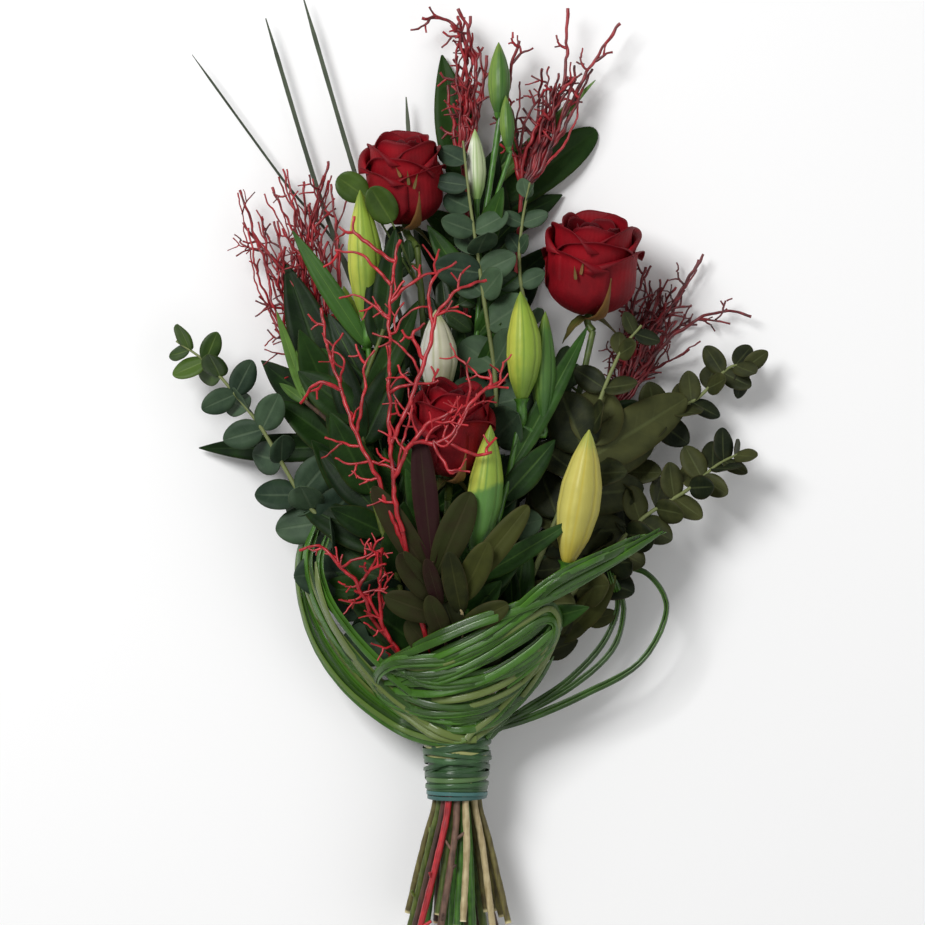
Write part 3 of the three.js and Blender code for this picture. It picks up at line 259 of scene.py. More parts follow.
class Graph:
    """A node tree that is written as expressions."""

    def __init__(self, tree):
        self.tree = tree
        self.shader = tree.type == "SHADER"
        self.entry = None

    def node(self, kind, settings=None, inputs=None, output=0):
        """Any node: its settings first, then the values or links of its sockets, by name or by place."""
        made = self.tree.nodes.new(kind)
        for name, value in (settings or {}).items():
            setattr(made, name, value)
        for key, value in (inputs or {}).items():
            self.feed(self.socket(made.inputs, key), value)
        return None if output is None else Field(self, self.socket(made.outputs, output))

    def socket(self, sockets, key):
        """The socket in use that has this name or place."""
        used = [socket for socket in sockets if socket.enabled]
        return used[key] if isinstance(key, int) else next(socket for socket in used if socket.name == key)

    def feed(self, socket, value):
        if isinstance(value, Field):
            self.tree.links.new(value.socket, socket)
        elif socket.type == "VECTOR" and np.isscalar(value):
            socket.default_value = (value, value, value)
        else:
            socket.default_value = value

    def attribute(self, name, vector=False):
        """What the points of a piece carry under this name: numbers, or directions in a shape's tree."""
        if self.shader:
            return self.node("ShaderNodeAttribute", {"attribute_name": name}, output="Fac")
        kind = "FLOAT_VECTOR" if vector else "FLOAT"
        return self.node("GeometryNodeInputNamedAttribute", {"data_type": kind}, {"Name": name})

    def attributes(self, *names, vector=False):
        return [self.attribute(name, vector) for name in names]

    def store(self, geometry, name, value):
        return self.node("GeometryNodeStoreNamedAttribute", {"data_type": "FLOAT", "domain": "POINT"},
                         {"Geometry": geometry, "Name": name, "Value": value})

    def blend(self, factor, a, b):
        """Two colours, blended. Each is a field or a #rrggbb code."""
        a, b = (paint(colour) if isinstance(colour, str) else colour for colour in (a, b))
        return self.node("ShaderNodeMix", {"data_type": "RGBA"}, {"Factor": factor, "A": a, "B": b})

    def parts(self, vector):
        """The x, y and z of a vector."""
        outputs = self.node("ShaderNodeSeparateXYZ", {}, {0: vector}).socket.node.outputs
        return [Field(self, outputs[axis]) for axis in "XYZ"]

    def noise(self, scale, detail, lengthwise=1.0, output=0):
        """Soft random spots, so many to a metre, or drawn out lengthwise where that share is small."""
        where = self.place() if lengthwise == 1.0 else self.place() * (1.0, lengthwise, 1.0)
        values = {"Vector": where, "Scale": scale, "Detail": detail}
        return self.node("ShaderNodeTexNoise", {}, values, output)

    def place(self):
        """Object coordinates in a shader, and the position in a shape."""
        if self.shader:
            return self.node("ShaderNodeTexCoord", output="Object")
        return self.node("GeometryNodeInputPosition")

    def input(self, name, kind, value=None):
        """A named input of a shape's tree."""
        socket = self.tree.interface.new_socket(name, in_out="INPUT", socket_type="NodeSocket" + kind)
        if value is not None:
            socket.default_value = value
        self.entry = self.entry or self.tree.nodes.new("NodeGroupInput")
        return Field(self, self.entry.outputs[name])

    def finish(self, geometry, material):
        """The end of a shape's tree: real geometry above the surface, smooth, with its material."""
        real = self.node("GeometryNodeRealizeInstances", {}, {"Geometry": geometry})
        x, y, z = self.parts(self.place())
        settled = self.node("ShaderNodeCombineXYZ", {}, {"X": x, "Y": y, "Z": z.at_least(SURFACE_GAP)})
        real = self.node("GeometryNodeSetPosition", {}, {"Geometry": real, "Position": settled})
        even = self.node("GeometryNodeSetShadeSmooth", {}, {"Geometry": real, "Shade Smooth": True})
        dressed = self.node("GeometryNodeSetMaterial", {}, {"Geometry": even, "Material": material})
        self.tree.interface.new_socket("Shape", in_out="OUTPUT", socket_type="NodeSocketGeometry")
        self.feed(self.tree.nodes.new("NodeGroupOutput").inputs["Shape"], dressed)
        return self.tree


# ------------------------------------------------------------------------------- trees for the shapes

TEETH_TURNS = 80  # the turns of the wave that cuts the teeth, in radians along a blade
BLADE_FOOT = 0.03  # the width that a blade keeps at both ends


def leaf_tree():
    """Leaves on points. Each point's attributes turn, bend, fold and wave its own blade."""
    g = Graph(bpy.data.node_groups.new("leaves", "GeometryNodeTree"))
    points = g.input("Points", "Geometry")
    rows, columns = g.input("Rows", "Int", 14), g.input("Columns", "Int", 5)
    base, tip = g.input("Base Roundness", "Float", 0.6), g.input("Tip Sharpness", "Float", 0.9)
    crest = g.input("Crest", "Float", 0.3)  # the outline's widest value, which the width divides by
    teeth, ripples = g.input("Teeth", "Float", 0.0), g.input("Ripples", "Float", 2.0)
    material = g.input("Material", "Material")

    blade = g.node("GeometryNodeMeshGrid", {}, {0: 1.0, 1: 1.0, 2: rows, 3: columns})
    x, y, _ = g.parts(g.place())
    blade = g.store(blade, "s", 0.5 - (x * math.pi + math.pi / 2).cos() * 0.5)  # closer rows at both ends
    blade = g.store(blade, "u", y * 2)
    leaves = g.node("GeometryNodeInstanceOnPoints", {}, {"Points": points, "Instance": blade})
    leaves = g.node("GeometryNodeRealizeInstances", {}, {"Geometry": leaves})

    s, u, shade = g.attributes("s", "u", "shade")  # along the blade, across it, and its own number
    root, along, facing = g.attributes("root", "along", "facing", vector=True)
    length, width, bend, fold, wave, twist = g.attributes("length", "width", "bend", "fold", "wave", "twist")
    across = facing.cross(along)
    turn = bend * s
    normal = facing * turn.cos() - along * turn.sin()
    outline = s ** base * (1 - s) ** tip / crest
    jagged = 1 + teeth * (s * TEETH_TURNS).sin() * (1 - abs(1 - 2 * s))
    half = width * 0.5 * (BLADE_FOOT + (1 - BLADE_FOOT) * outline) * jagged
    side = across * (twist * s).cos() + normal * (twist * s).sin()
    up = normal * (twist * s).cos() - across * (twist * s).sin()
    ripple = (s * ripples * math.tau + shade * 20).sin() * wave * width * u * u
    lift = abs(u) * half * fold + ripple
    rib = root + along * (turn.sin() / bend * length) + facing * ((1 - turn.cos()) / bend * length)
    shaped = g.node("GeometryNodeSetPosition", {},
                    {"Geometry": leaves, "Position": rib + side * (u * half) + up * lift})
    return g.finish(shaped, material)


def rod_tree():
    """Rods along lines: stems, twigs and blades of grass, by how flat and how creased the section is."""
    g = Graph(bpy.data.node_groups.new("rods", "GeometryNodeTree"))
    lines = g.input("Lines", "Geometry")
    sides, step = g.input("Sides", "Int", 8), g.input("Step", "Float", 0.004)
    flatness, crease = g.input("Flatness", "Float", 1.0), g.input("Crease", "Float", 0.0)
    knots, knot_scale = g.input("Knots", "Float", 0.1), g.input("Knot Scale", "Float", 200.0)
    wander = g.input("Wander", "Float", 0.0)  # how far the line strays sideways
    material = g.input("Material", "Material")

    curve = g.node("GeometryNodeMeshToCurve", {}, {"Mesh": lines})
    curve = g.node("GeometryNodeResampleCurve", {"mode": "LENGTH"}, {"Curve": curve, "Length": step})
    curve = g.store(curve, "s", g.node("GeometryNodeSplineParameter"))
    adrift = g.noise(knot_scale * 0.5, 1.0, output="Color") - 0.5
    held = g.attribute("s").ramp(0.0, 0.08)  # the root stays where it is
    curve = g.node("GeometryNodeSetPosition", {}, {"Geometry": curve, "Offset": adrift * (wander * held)})
    normal = g.attribute("out", True)
    curve = g.node("GeometryNodeSetCurveNormal", {"mode": "FREE"}, {"Curve": curve, "Normal": normal})

    section = g.node("GeometryNodeCurvePrimitiveCircle", {"mode": "RADIUS"},
                     {"Resolution": sides, "Radius": 1.0})
    wide, thick, _ = g.parts(g.place())
    section = g.store(section, "u", wide)
    bent = g.node("ShaderNodeCombineXYZ", {}, {"X": thick * flatness + abs(wide) * crease, "Y": wide})
    section = g.node("GeometryNodeSetPosition", {}, {"Geometry": section, "Position": bent})
    girth = g.attribute("girth") * (1 + knots * (g.noise(knot_scale, 1.0) - 0.5) * 2)
    rods = g.node("GeometryNodeCurveToMesh", {},
                  {"Curve": curve, "Profile Curve": section, "Scale": girth, "Fill Caps": True})
    return g.finish(rods, material)


LEAF_TREE = leaf_tree()
ROD_TREE = rod_tree()


# ---------------------------------------------------------------------------------- making the pieces

def link(piece):
    bpy.context.scene.collection.objects.link(piece)
    return piece


def place_piece(piece, slot, node):
    """A finished piece rides with the bouquet and stands for one of the model's plain nodes."""
    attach(piece, "root")
    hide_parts(node)


def thicken(sheet):
    """Gives a sheet of one layer a leaf's thickness."""
    skin = sheet.modifiers.new("thickness", "SOLIDIFY")
    skin.thickness = LEAF_THICKNESS
    skin.offset = 0


def carrying(name, points, edges, faces, values):
    """A mesh whose points carry values, which are numbers or directions."""
    mesh = bpy.data.meshes.new(name)
    mesh.from_pydata([tuple(point) for point in points], edges, faces)
    for key, value in values.items():
        value = np.asarray(value, dtype=np.float32)
        kind, field = ("FLOAT_VECTOR", "vector") if value.ndim == 2 else ("FLOAT", "value")
        mesh.attributes.new(key, kind, "POINT").data.foreach_set(field, value.ravel())
    return mesh


def grow(name, guide, tree, sizes, sheet=False):
    """The plain mesh that a tree makes of a guide of points and lines, thickened where it is a sheet."""
    draft = link(bpy.data.objects.new(name + "_guide", guide))
    growth = draft.modifiers.new("growth", "NODES")
    growth.node_group = tree
    sockets = {item.name: item.identifier for item in tree.interface.items_tree if item.in_out == "INPUT"}
    for key, value in sizes.items():
        growth[sockets[key]] = value
    if sheet:
        thicken(draft)
    graph = bpy.context.evaluated_depsgraph_get()
    made = bpy.data.meshes.new_from_object(draft.evaluated_get(graph))
    bpy.data.objects.remove(draft)
    return link(bpy.data.objects.new(name, made))


LEAST_BEND = 0.02  # in radians, because a blade's arc divides by its bend


class Leaves:
    """Leaves of one kind on one plant, gathered and grown at once."""

    def __init__(self, base=0.6, tip=0.9, rows=14, columns=5, teeth=0.0, ripples=2.0, fold=0.25, wave=0.02):
        widest = base / (base + tip)
        self.sizes = {
            "Rows": rows, "Columns": columns, "Base Roundness": base, "Tip Sharpness": tip, "Teeth": teeth,
            "Crest": widest ** base * (1 - widest) ** tip, "Ripples": ripples,
        }
        self.fold = fold
        self.wave = wave
        self.points = []

    def add(self, root, direction, facing, length, width, bend, twist=0.0, shade=0.5):
        along = unit(direction)
        face = unit(facing - along * np.dot(facing, along))
        bend = bend if abs(bend) > LEAST_BEND else LEAST_BEND
        self.points.append((root, along, face, length, width, bend, self.fold, self.wave, twist, shade))

    def grow(self, name, material):
        columns = [np.array(column) for column in zip(*self.points)]
        roots = columns[0] + NECK
        keys = "along", "facing", "length", "width", "bend", "fold", "wave", "twist", "shade"
        values = {"root": roots, **dict(zip(keys, columns[1:]))}
        guide = carrying(name, roots, [], [], values)
        return grow(name, guide, LEAF_TREE, {**self.sizes, "Material": material}, sheet=True)


class Rods:
    """Rods of one kind on one plant, gathered as lines and grown at once."""

    def __init__(self, **sizes):
        self.sizes = {key.replace("_", " ").title(): value for key, value in sizes.items()}
        self.points, self.edges, self.girths, self.outs, self.shades = [], [], [], [], []

    def add(self, path, radius_at, outward=None, shade=0.5):
        start = len(self.points)
        last = len(path) - 1
        steady = Y if abs(unit(path[-1] - path[0])[2]) > 0.85 else Z  # never along the rod
        for i, point in enumerate(path):
            self.points.append(point + NECK)
            self.girths.append(radius_at(i / last))
            along = unit(path[min(last, i + 1)] - path[max(0, i - 1)])
            out = outward(point) if outward else steady
            self.outs.append(unit(out - along * np.dot(out, along)))
            self.shades.append(shade)
        self.edges += [(start + i, start + i + 1) for i in range(last)]

    def grow(self, name, material):
        values = {"girth": self.girths, "out": np.array(self.outs), "shade": self.shades}
        guide = carrying(name, self.points, self.edges, [], values)
        return grow(name, guide, ROD_TREE, {**self.sizes, "Material": material})


def sheet_faces(columns, rows, closed=False):
    """The faces of a grid of points, rows of columns, joined round where it is closed."""
    faces = []
    for j in range(rows - 1):
        for i in range(columns if closed else columns - 1):
            left, right = j * columns + i, j * columns + (i + 1) % columns
            faces.append((left, right, right + columns, left + columns))
    return faces


def mesh_piece(name, points, faces, values, material, sheet=False):
    """A smooth piece from its own points and faces, thickened where it is a sheet."""
    mesh = carrying(name, points + NECK, [], faces, values)
    mesh.polygons.foreach_set("use_smooth", [True] * len(mesh.polygons))
    mesh.materials.append(material)
    piece = link(bpy.data.objects.new(name, mesh))
    if sheet:
        thicken(piece)
    return piece


# -------------------------------------------------------------------------------------------- paints

def make_material(name, build, relief, **constants):
    """A material: build gives its colour, roughness and height, and the rest is set once on the shader."""
    material = bpy.data.materials.new(name)
    material.use_nodes = True
    tree = material.node_tree
    tree.nodes.clear()
    g = Graph(tree)
    colour, roughness, height = build(g)
    normal = g.node("ShaderNodeBump", {}, {"Height": height, "Strength": relief, "Distance": MILLIMETRE})
    values = {key.replace("_", " "): value for key, value in constants.items()}
    values.update({"Base Color": colour, "Roughness": roughness, "Normal": normal})
    shader = g.node("ShaderNodeBsdfPrincipled", {}, values, "BSDF")
    g.node("ShaderNodeOutputMaterial", {}, {"Surface": shader}, None)
    return material


WORN_EDGE = "#4a3a20"


def leaf_paint(name, dark, light, rib, veins=0.0, roughness=0.5, coat=0.0, worn=0.25, ribs=9, midline=0.3,
               shine=0.25):
    """Leaf skin: mottled between two greens, with a midrib, so many side ribs and a worn edge."""

    def build(g):
        s, across, shade = g.attributes("s", "u", "shade")
        u = abs(across)
        blotch = g.noise(70.0, 4.0)
        grain = g.noise(900.0, 2.0)
        body = g.blend((shade * 0.7 + blotch * 0.9 - 0.35).ramp(0.0, 1.0), dark, light)
        midrib = u.ramp(0.12, 0.02)
        side = abs(((s * ribs - u * 0.9) * math.pi).sin()).ramp(0.22, 0.0) * u.ramp(1.0, 0.1) * veins
        body = g.blend((midrib * midline + side * 0.35) * s.ramp(1.0, 0.6, 0.3, 1.0), body, rib)
        body = g.blend((u + blotch * 0.25).ramp(0.98, 1.2) * worn, body, WORN_EDGE)
        height = grain * 0.25 + blotch * 0.5 - midrib * 0.8 - side * 0.5
        return body, roughness + grain * 0.16 - 0.08, height

    return make_material(name, build, 0.35, Coat_Weight=coat, Coat_Roughness=0.35, Specular_IOR_Level=shine)


def bark_paint(name, dark, light, cut, roughness=0.6, coat=0.0, streak=14.0, tip=None):
    """Skin of a stem or twig: long streaks, knots, a pale cut end below the neck and a tint above it."""

    def build(g):
        s, shade = g.attributes("s", "shade")
        streaks = g.noise(30.0 * streak, 3.0, lengthwise=0.12)
        knots = g.noise(160.0, 3.0)
        body = g.blend((streaks * 0.8 + knots * 0.5 + shade * 0.3 - 0.45).ramp(0.0, 0.8), dark, light)
        if tip:
            body = g.blend(s.ramp(0.36, 0.5) * 0.85, body, tip)
        below = g.parts(g.place())[1].ramp(NECK[1] - 0.03, NECK[1] - 0.05)
        body = g.blend(s.ramp(0.006, 0.001) * below, body, cut)
        return body, roughness + streaks * 0.2 - 0.1, streaks * 0.6 + knots * 0.6

    return make_material(name, build, 0.45, Coat_Weight=coat, Coat_Roughness=0.3)


def grass_paint(name, dark, light, edge, coat, roughness, faded=None):
    """A blade of grass: fine lines along it, a paler edge and a tint of its own. A few blades are faded."""

    def build(g):
        u, shade = g.attributes("u", "shade")
        patches = g.noise(45.0, 3.0)
        lines = (u * 34.0 + shade * 9.0).sin() * 0.5 + 0.5
        body = g.blend((shade * 0.75 + patches * 0.8 - 0.3).ramp(0.0, 1.0), dark, light)
        body = g.blend(lines * 0.14, body, edge)
        body = g.blend(abs(u).ramp(0.75, 1.0) * 0.3, body, edge)
        if faded:
            body = g.blend(shade.ramp(0.8, 0.9) * 0.8, body, faded)
        return body, roughness + patches * 0.2 - 0.1, lines * 0.5 + patches * 0.3

    return make_material(name, build, 0.3, Coat_Weight=coat, Coat_Roughness=0.16, Specular_IOR_Level=0.25)


def bud_paint(name, foot, middle, lit_side, tip, foot_end=(0.05, 0.45)):
    """Lily bud skin: greener at the foot, painted light on the left, greener painted shade on the right, dark
    seams, a tinted tip.
    """

    def build(g):
        s, seam, shade = g.attributes("s", "seam", "shade")
        mottle = g.noise(120.0, 4.0)
        fine = g.noise(700.0, 2.0, lengthwise=0.2)
        # painted light and shade: across the bud, from its right side to its left, the colour goes from
        # darker green to bright
        body = g.blend((shade + mottle * 0.4 - 0.2).ramp(0.25, 0.85), middle, lit_side)
        body = g.blend((s + mottle * 0.1 + shade * 0.12 - 0.11).ramp(*foot_end), foot, body)
        body = g.blend((s + mottle * 0.1).ramp(0.86, 1.0) * 0.8, body, tip)
        body = g.blend(seam * 0.8, body, foot)
        return body, 0.42 + fine * 0.16, fine * 0.5 + mottle * 0.3

    return make_material(name, build, 0.25, Subsurface_Weight=0.05, Subsurface_Radius=(0.004, 0.004, 0.002),
                         Coat_Weight=0.12, Coat_Roughness=0.35, Specular_IOR_Level=0.35)


def petal_paint():
    """Rose petals: deep red velvet, with painted shade inside the cup and fine veins that fan to the rim."""

    def build(g):
        s, u, deep = g.attributes("s", "u", "deep")
        cloud = g.noise(55.0, 4.0)
        fibre = g.noise(1400.0, 2.0)
        veins = (u * 60.0 + cloud * 3.0).sin() * 0.5 + 0.5
        body = g.blend((cloud * 0.9 + s * 0.5 - 0.35).ramp(0.0, 1.0), "#5c030d", "#9c0a1a")
        # painted shade: the inner petals, deep in the cup, darken towards near black
        body = g.blend(deep.ramp(0.1, 0.9) * 0.85, body, "#2e0107")
        body = g.blend((s + cloud * 0.1).ramp(0.93, 1.05) * 0.6, body, "#43040e")
        body = g.blend(s.ramp(0.2, 0.0) * 0.5, body, "#5c2012")
        return body, 0.62 + fibre * 0.2 - 0.1, veins * 0.3 + fibre * 0.4 + cloud

    return make_material("rose petals", build, 0.3, Sheen_Weight=0.08, Sheen_Roughness=0.4,
                         Sheen_Tint=paint("#ff3346"), Specular_IOR_Level=0.2)


PETALS = petal_paint()
GLOSSY_LEAF = leaf_paint("dark glossy leaf", "#0a1a08", "#243f14", "#3a5524",
                         veins=0.2, roughness=0.52, shine=0.12)
GREEN_LEAF = leaf_paint("green lily leaf", "#0e240a", "#33581c", "#5f8038", veins=0.1, coat=0.02, shine=0.16)
BRIGHT_LEAF = leaf_paint("yellow-green leaf", "#2c4a18", "#5c7f34", "#88a455",
                         veins=0.1, roughness=0.45, coat=0.05)
ROUND_LEAF = leaf_paint("round green leaf", "#22380f", "#4a6420", "#6a7f38", veins=0.1)
GUM_BLUE = leaf_paint("blue eucalyptus leaf", "#1e3022", "#465c42", "#75876a",
                      veins=0.15, roughness=0.62, worn=0.15, ribs=6, midline=0.2, shine=0.22)
GUM_OLIVE = leaf_paint("olive eucalyptus leaf", "#151d10", "#454826", "#6a7448",
                       veins=0.15, roughness=0.6, worn=0.3, ribs=6, midline=0.2, shine=0.15)
ROSE_LEAF = leaf_paint("rose leaf", "#0e1d0a", "#2a431a", "#4c6030", veins=0.5, coat=0.05)
SEPAL = leaf_paint("sepal", "#454a1c", "#7d5630", "#8f6238", roughness=0.6)
PLUM_LEAF = leaf_paint("plum and green leaf", "#2a1214", "#2b3014", "#46402a",
                       roughness=0.7, worn=0.2, midline=0.2, shine=0.12)
OLIVE_LEAF = leaf_paint("olive leaf", "#1c200b", "#3c4018", "#50522a",
                        roughness=0.65, worn=0.4, midline=0.25, shine=0.15)
GUM_STEM = bark_paint("eucalyptus stem", "#3f331c", "#79733c", "#c9bd8c", tip="#717c48")
GREEN_STEM = bark_paint("green stem", "#1f4312", "#4f8522", "#b9bf86", roughness=0.45, coat=0.1)
OLIVE_STEM = bark_paint("olive stem", "#2c3a10", "#66742a", "#c5b98a", roughness=0.55)
ROSY_STEM = bark_paint("rosy brown stem", "#3c2a22", "#8a6a58", "#cdb48a", roughness=0.7)
ROSE_STEM = bark_paint("rose stem", "#2f4418", "#66762f", "#c5b98a", roughness=0.5)
BROWN_STEM = bark_paint("brown stem", "#21150e", "#5f4430", "#cdb48a", roughness=0.75)
CREAM_STEM = bark_paint("cream stem", "#8f7d55", "#d0c298", "#e2d6b0")
RED_TWIG = bark_paint("bright red twig", "#740911", "#c81b28", "#c98f6a",
                      roughness=0.45, coat=0.2, streak=8.0)
DEEP_TWIG = bark_paint("deep red twig", "#3a070c", "#b01824", "#c98f6a", roughness=0.5, coat=0.15, streak=8.0)
DARK_TWIG = bark_paint("dark red twig", "#2c0509", "#85121c", "#b98363", roughness=0.5, coat=0.1, streak=8.0)
PAINTED_STEM = bark_paint("painted stem", "#241510", "#5c3b2a", "#cdb48a",
                          coat=0.05, streak=10.0, tip="#8e1119")
GRASS = grass_paint("glossy grass", "#132c07", "#417418", "#6a9836", 0.42, 0.28, faded="#66703a")
WOUND_GRASS = grass_paint("wound grass", "#15341a", "#3f6a38", "#6a9460", 0.35, 0.35, faded="#a5a468")
GREY_GRASS = grass_paint("steel grass", "#262e20", "#56604c", "#7d8478", 0.1, 0.5)
TAPE = grass_paint("tie", "#1a3836", "#3c6a66", "#6c968f", 0.3, 0.4)
BUD_LIME = bud_paint("lime bud", "#66832c", "#86a036", "#b2b846", "#6c862c")
BUD_TWO_TONE = bud_paint("two-toned bud", "#4f7a34", "#869f38", "#b0b848", "#70882c", (0.5, 0.56))
BUD_GREEN = bud_paint("green bud", "#2e551d", "#446a28", "#6f8c38", "#6c8430")
BUD_CREAM = bud_paint("cream bud", "#a3a878", "#c6c3ac", "#e4e3d8", "#a9b06e")
BUD_WHITE = bud_paint("white bud", "#7d9e54", "#b7c49a", "#e0e4d0", "#94ae60")
BUD_YELLOW = bud_paint("pale yellow bud", "#b8a83e", "#b0a850", "#cdc468", "#8f9f48", (0.02, 0.3))


# ----------------------------------------------------------------------------------------- the stems

def stem_path(row, place, head):
    """A stem from its cut end, through its place in the neck, to its points in the head."""
    draw = dice(row * 97 + place * 31 + 7)
    end = -(CUT_NEAR + CUT_SPREAD * draw())
    levels = [end, -SPLAY_START - 0.04, -SPLAY_START, HEAD_START]
    return smooth([bundle_point(row, place, y) for y in levels] + [at(row, *point) for point in head])


# Every stem: its slot, row, place in the row, tip radius in millimetres, skin, and points in the head.
STEMS = {
    "upright_grass": ("grass_upright", 0, 0, 1.6, BROWN_STEM, [(441, 640), (430, 560)]),
    "top_leaves": ("leaf_dark", 0, 1, 1.6, BROWN_STEM, [(462, 560), (482, 400), (484, 280), (468, 190)]),
    "coral_twigs_right": ("twig_dark", 0, 2, 1.6, PAINTED_STEM, [(520, 600), (570, 500), (612, 415)]),
    "coral_twigs_left": ("twig_red", 1, 0, 1.6, PAINTED_STEM, [(418, 620), (372, 490), (325, 415)]),
    "coral_twigs_top": ("twig_dark", 1, 1, 1.6, PAINTED_STEM, [
        (452, 560), (462, 380), (468, 240), (462, 150)]),
    "coral_twigs_top_right": ("twig_red", 1, 2, 1.6, PAINTED_STEM, [
        (478, 560), (505, 400), (516, 280), (522, 190)]),
    "eucalyptus_right_upper": ("gum_olive", 1, 3, 0.9, GUM_STEM, [
        (530, 620), (590, 540), (622, 480), (660, 420), (700, 398), (735, 365), (757, 372)]),
    "left_leaves": ("leaf_dark", 2, 0, 1.6, BROWN_STEM, [(408, 620), (378, 520), (348, 440), (330, 400)]),
    "rose_top_stem": ("rose_stem", 2, 1, 2.6, ROSE_STEM, [(436, 600), (428, 450), (424, 340), (417, 246)]),
    "lily_top_stem": ("lily_stem", 2, 2, 2.0, GREEN_STEM, [(455, 600), (468, 450), (478, 320), (481, 240)]),
    "rose_right_stem": ("rose_stem", 2, 3, 2.6, ROSE_STEM, [(490, 620), (530, 520), (572, 420), (594, 330)]),
    "eucalyptus_right_lower": ("gum_olive", 2, 4, 0.9, GUM_STEM, [
        (530, 640), (578, 590), (610, 555), (645, 518), (690, 490), (720, 465), (750, 450)]),
    "eucalyptus_left": ("gum_blue", 3, 0, 0.9, GUM_STEM, [
        (392, 640), (350, 570), (322, 522), (300, 495), (262, 430), (235, 395), (205, 362), (174, 340)]),
    "lily_left_stem": ("lily_stem", 3, 1, 2.4, GREEN_STEM, [(416, 620), (394, 500), (374, 400), (368, 345)]),
    "lily_cream_stem": ("lily_stem", 3, 2, 2.4, GREEN_STEM, [(440, 600), (434, 500), (436, 412)]),
    "eucalyptus_top": ("gum_blue", 3, 3, 0.9, GUM_STEM, [
        (470, 600), (490, 480), (496, 390), (484, 300), (477, 250), (469, 195), (463, 140)]),
    "eucalyptus_inner": ("gum_blue", 3, 4, 0.9, GUM_STEM, [
        (490, 600), (522, 460, -6), (532, 350, -8), (520, 275, -8), (522, 225, -6), (530, 182)]),
    "eucalyptus_round": ("gum_olive", 3, 5, 1.1, GUM_STEM, [
        (515, 620), (556, 520), (585, 450), (602, 395), (622, 350), (642, 325)]),
    "dark_leaves": ("leaf_dark", 4, 0, 1.6, OLIVE_STEM, [(404, 600), (372, 490), (362, 400), (384, 330)]),
    "lily_centre_stem": ("lily_stem", 4, 2, 2.4, GREEN_STEM, [(470, 600), (500, 510), (519, 425)]),
    "lily_pale_stem": ("lily_stem", 4, 3, 2.6, GREEN_STEM, [(500, 640), (540, 600), (560, 582)]),
    "right_leaves": ("leaf_olive", 4, 4, 1.6, CREAM_STEM, [(520, 675, -4), (560, 640, -18), (588, 622, -22)]),
    "coral_twigs_low": ("twig_red", 5, 0, 1.6, PAINTED_STEM, [(427, 690), (396, 650), (368, 612)]),
    "rose_front_stem": ("rose_stem", 5, 1, 2.8, ROSE_STEM, [(442, 640), (446, 560), (448, 500, -2)]),
    "lily_front_stem": ("lily_stem", 5, 2, 2.8, GREEN_STEM, [(464, 650), (470, 600), (474, 572)]),
    "coral_twigs_front": ("twig_red", 6, 0, 1.6, RED_TWIG, [(433, 660), (417, 600), (404, 530)]),
    "leucadendron_maroon": ("leaf_maroon", 6, 1, 1.6, ROSY_STEM, [(449, 660), (440, 600), (432, 560)]),
    "leucadendron_olive": ("leaf_olive", 6, 2, 1.6, CREAM_STEM, [(464, 660), (462, 620), (459, 590)]),
}


STUBS = 4  # on each woody stem


class Plant:
    """One stem of the bouquet and all that grows on it, made as a few pieces."""

    def __init__(self, node):
        self.node = node
        self.slot, self.row, place, tip, bark, head = STEMS[node]
        self.path = stem_path(self.row, place, head)
        self.bark = bark
        self.rods = Rods(sides=12, step=0.003, knots=0.2, knot_scale=110.0)
        neck = STEM_RADIUS if tip >= 2 else SLIM_STEM_RADIUS
        start = 3 / (len(head) + 3)  # where the path leaves the neck
        self.rods.add(self.path, lambda f: mix(neck, tip * MILLIMETRE, clamp01((f - start) / (1 - start))))
        self.kinds = {}
        if bark in (BROWN_STEM, OLIVE_STEM, ROSY_STEM, RED_TWIG):
            self.stubs(dice(self.row * 53 + place * 11 + 3))

    def stubs(self, draw):
        """Short side shoots, trimmed off below the neck."""
        for k in range(STUBS):
            point, along, side, out = place_on(self.path, 0.03 + 0.2 * (k + draw()) / STUBS)
            turn = draw() * math.tau
            away = unit(along * 0.8 + side * math.cos(turn) + out * math.sin(turn))
            reach = STEM_RADIUS + 0.002 + 0.005 * draw()
            path = smooth([point, point + away * reach * 0.5, point + away * reach + along * 0.001])
            self.rods.add(path, tapered(0.0016, 0.0004), shade=draw())

    def leaves(self, kind, material, **sizes):
        """The plant's leaves of one kind, which are gathered until the plant is grown."""
        if kind not in self.kinds:
            self.kinds[kind] = (Leaves(**sizes), material)
        return self.kinds[kind][0]

    def grow(self):
        place_piece(self.rods.grow(self.node + "_stem_skin", self.bark), self.slot, self.node)
        for kind, (leaves, material) in self.kinds.items():
            place_piece(leaves.grow(f"{self.node}_{kind}", material), self.slot, self.node)


def named_leaves(plant, leaves, spots):
    """Leaves on listed spots: foot and tip, width in steps, lift of the tip, and shade if set."""
    for k, (foot_x, foot_y, tip_x, tip_y, width, lift, *tone) in enumerate(spots):
        foot = nearest_on(plant.path, at(plant.row, foot_x, foot_y))
        reach = at(plant.row, tip_x, tip_y, lift) - foot
        shade = tone[0] if tone else dice(1000 + 17 * k + 3 * tip_x)()
        leaves.add(foot, reach, Z - 0.15 * Y, np.linalg.norm(reach), width * PIXEL * 1.1, -0.25, shade=shade)


def leaf_between(leaves, foot, tip, width, bend, shade=0.5):
    """A leaf from one point to another that faces straight up."""
    leaves.add(foot, tip - foot, Z, np.linalg.norm(tip - foot), width, bend, shade=shade)


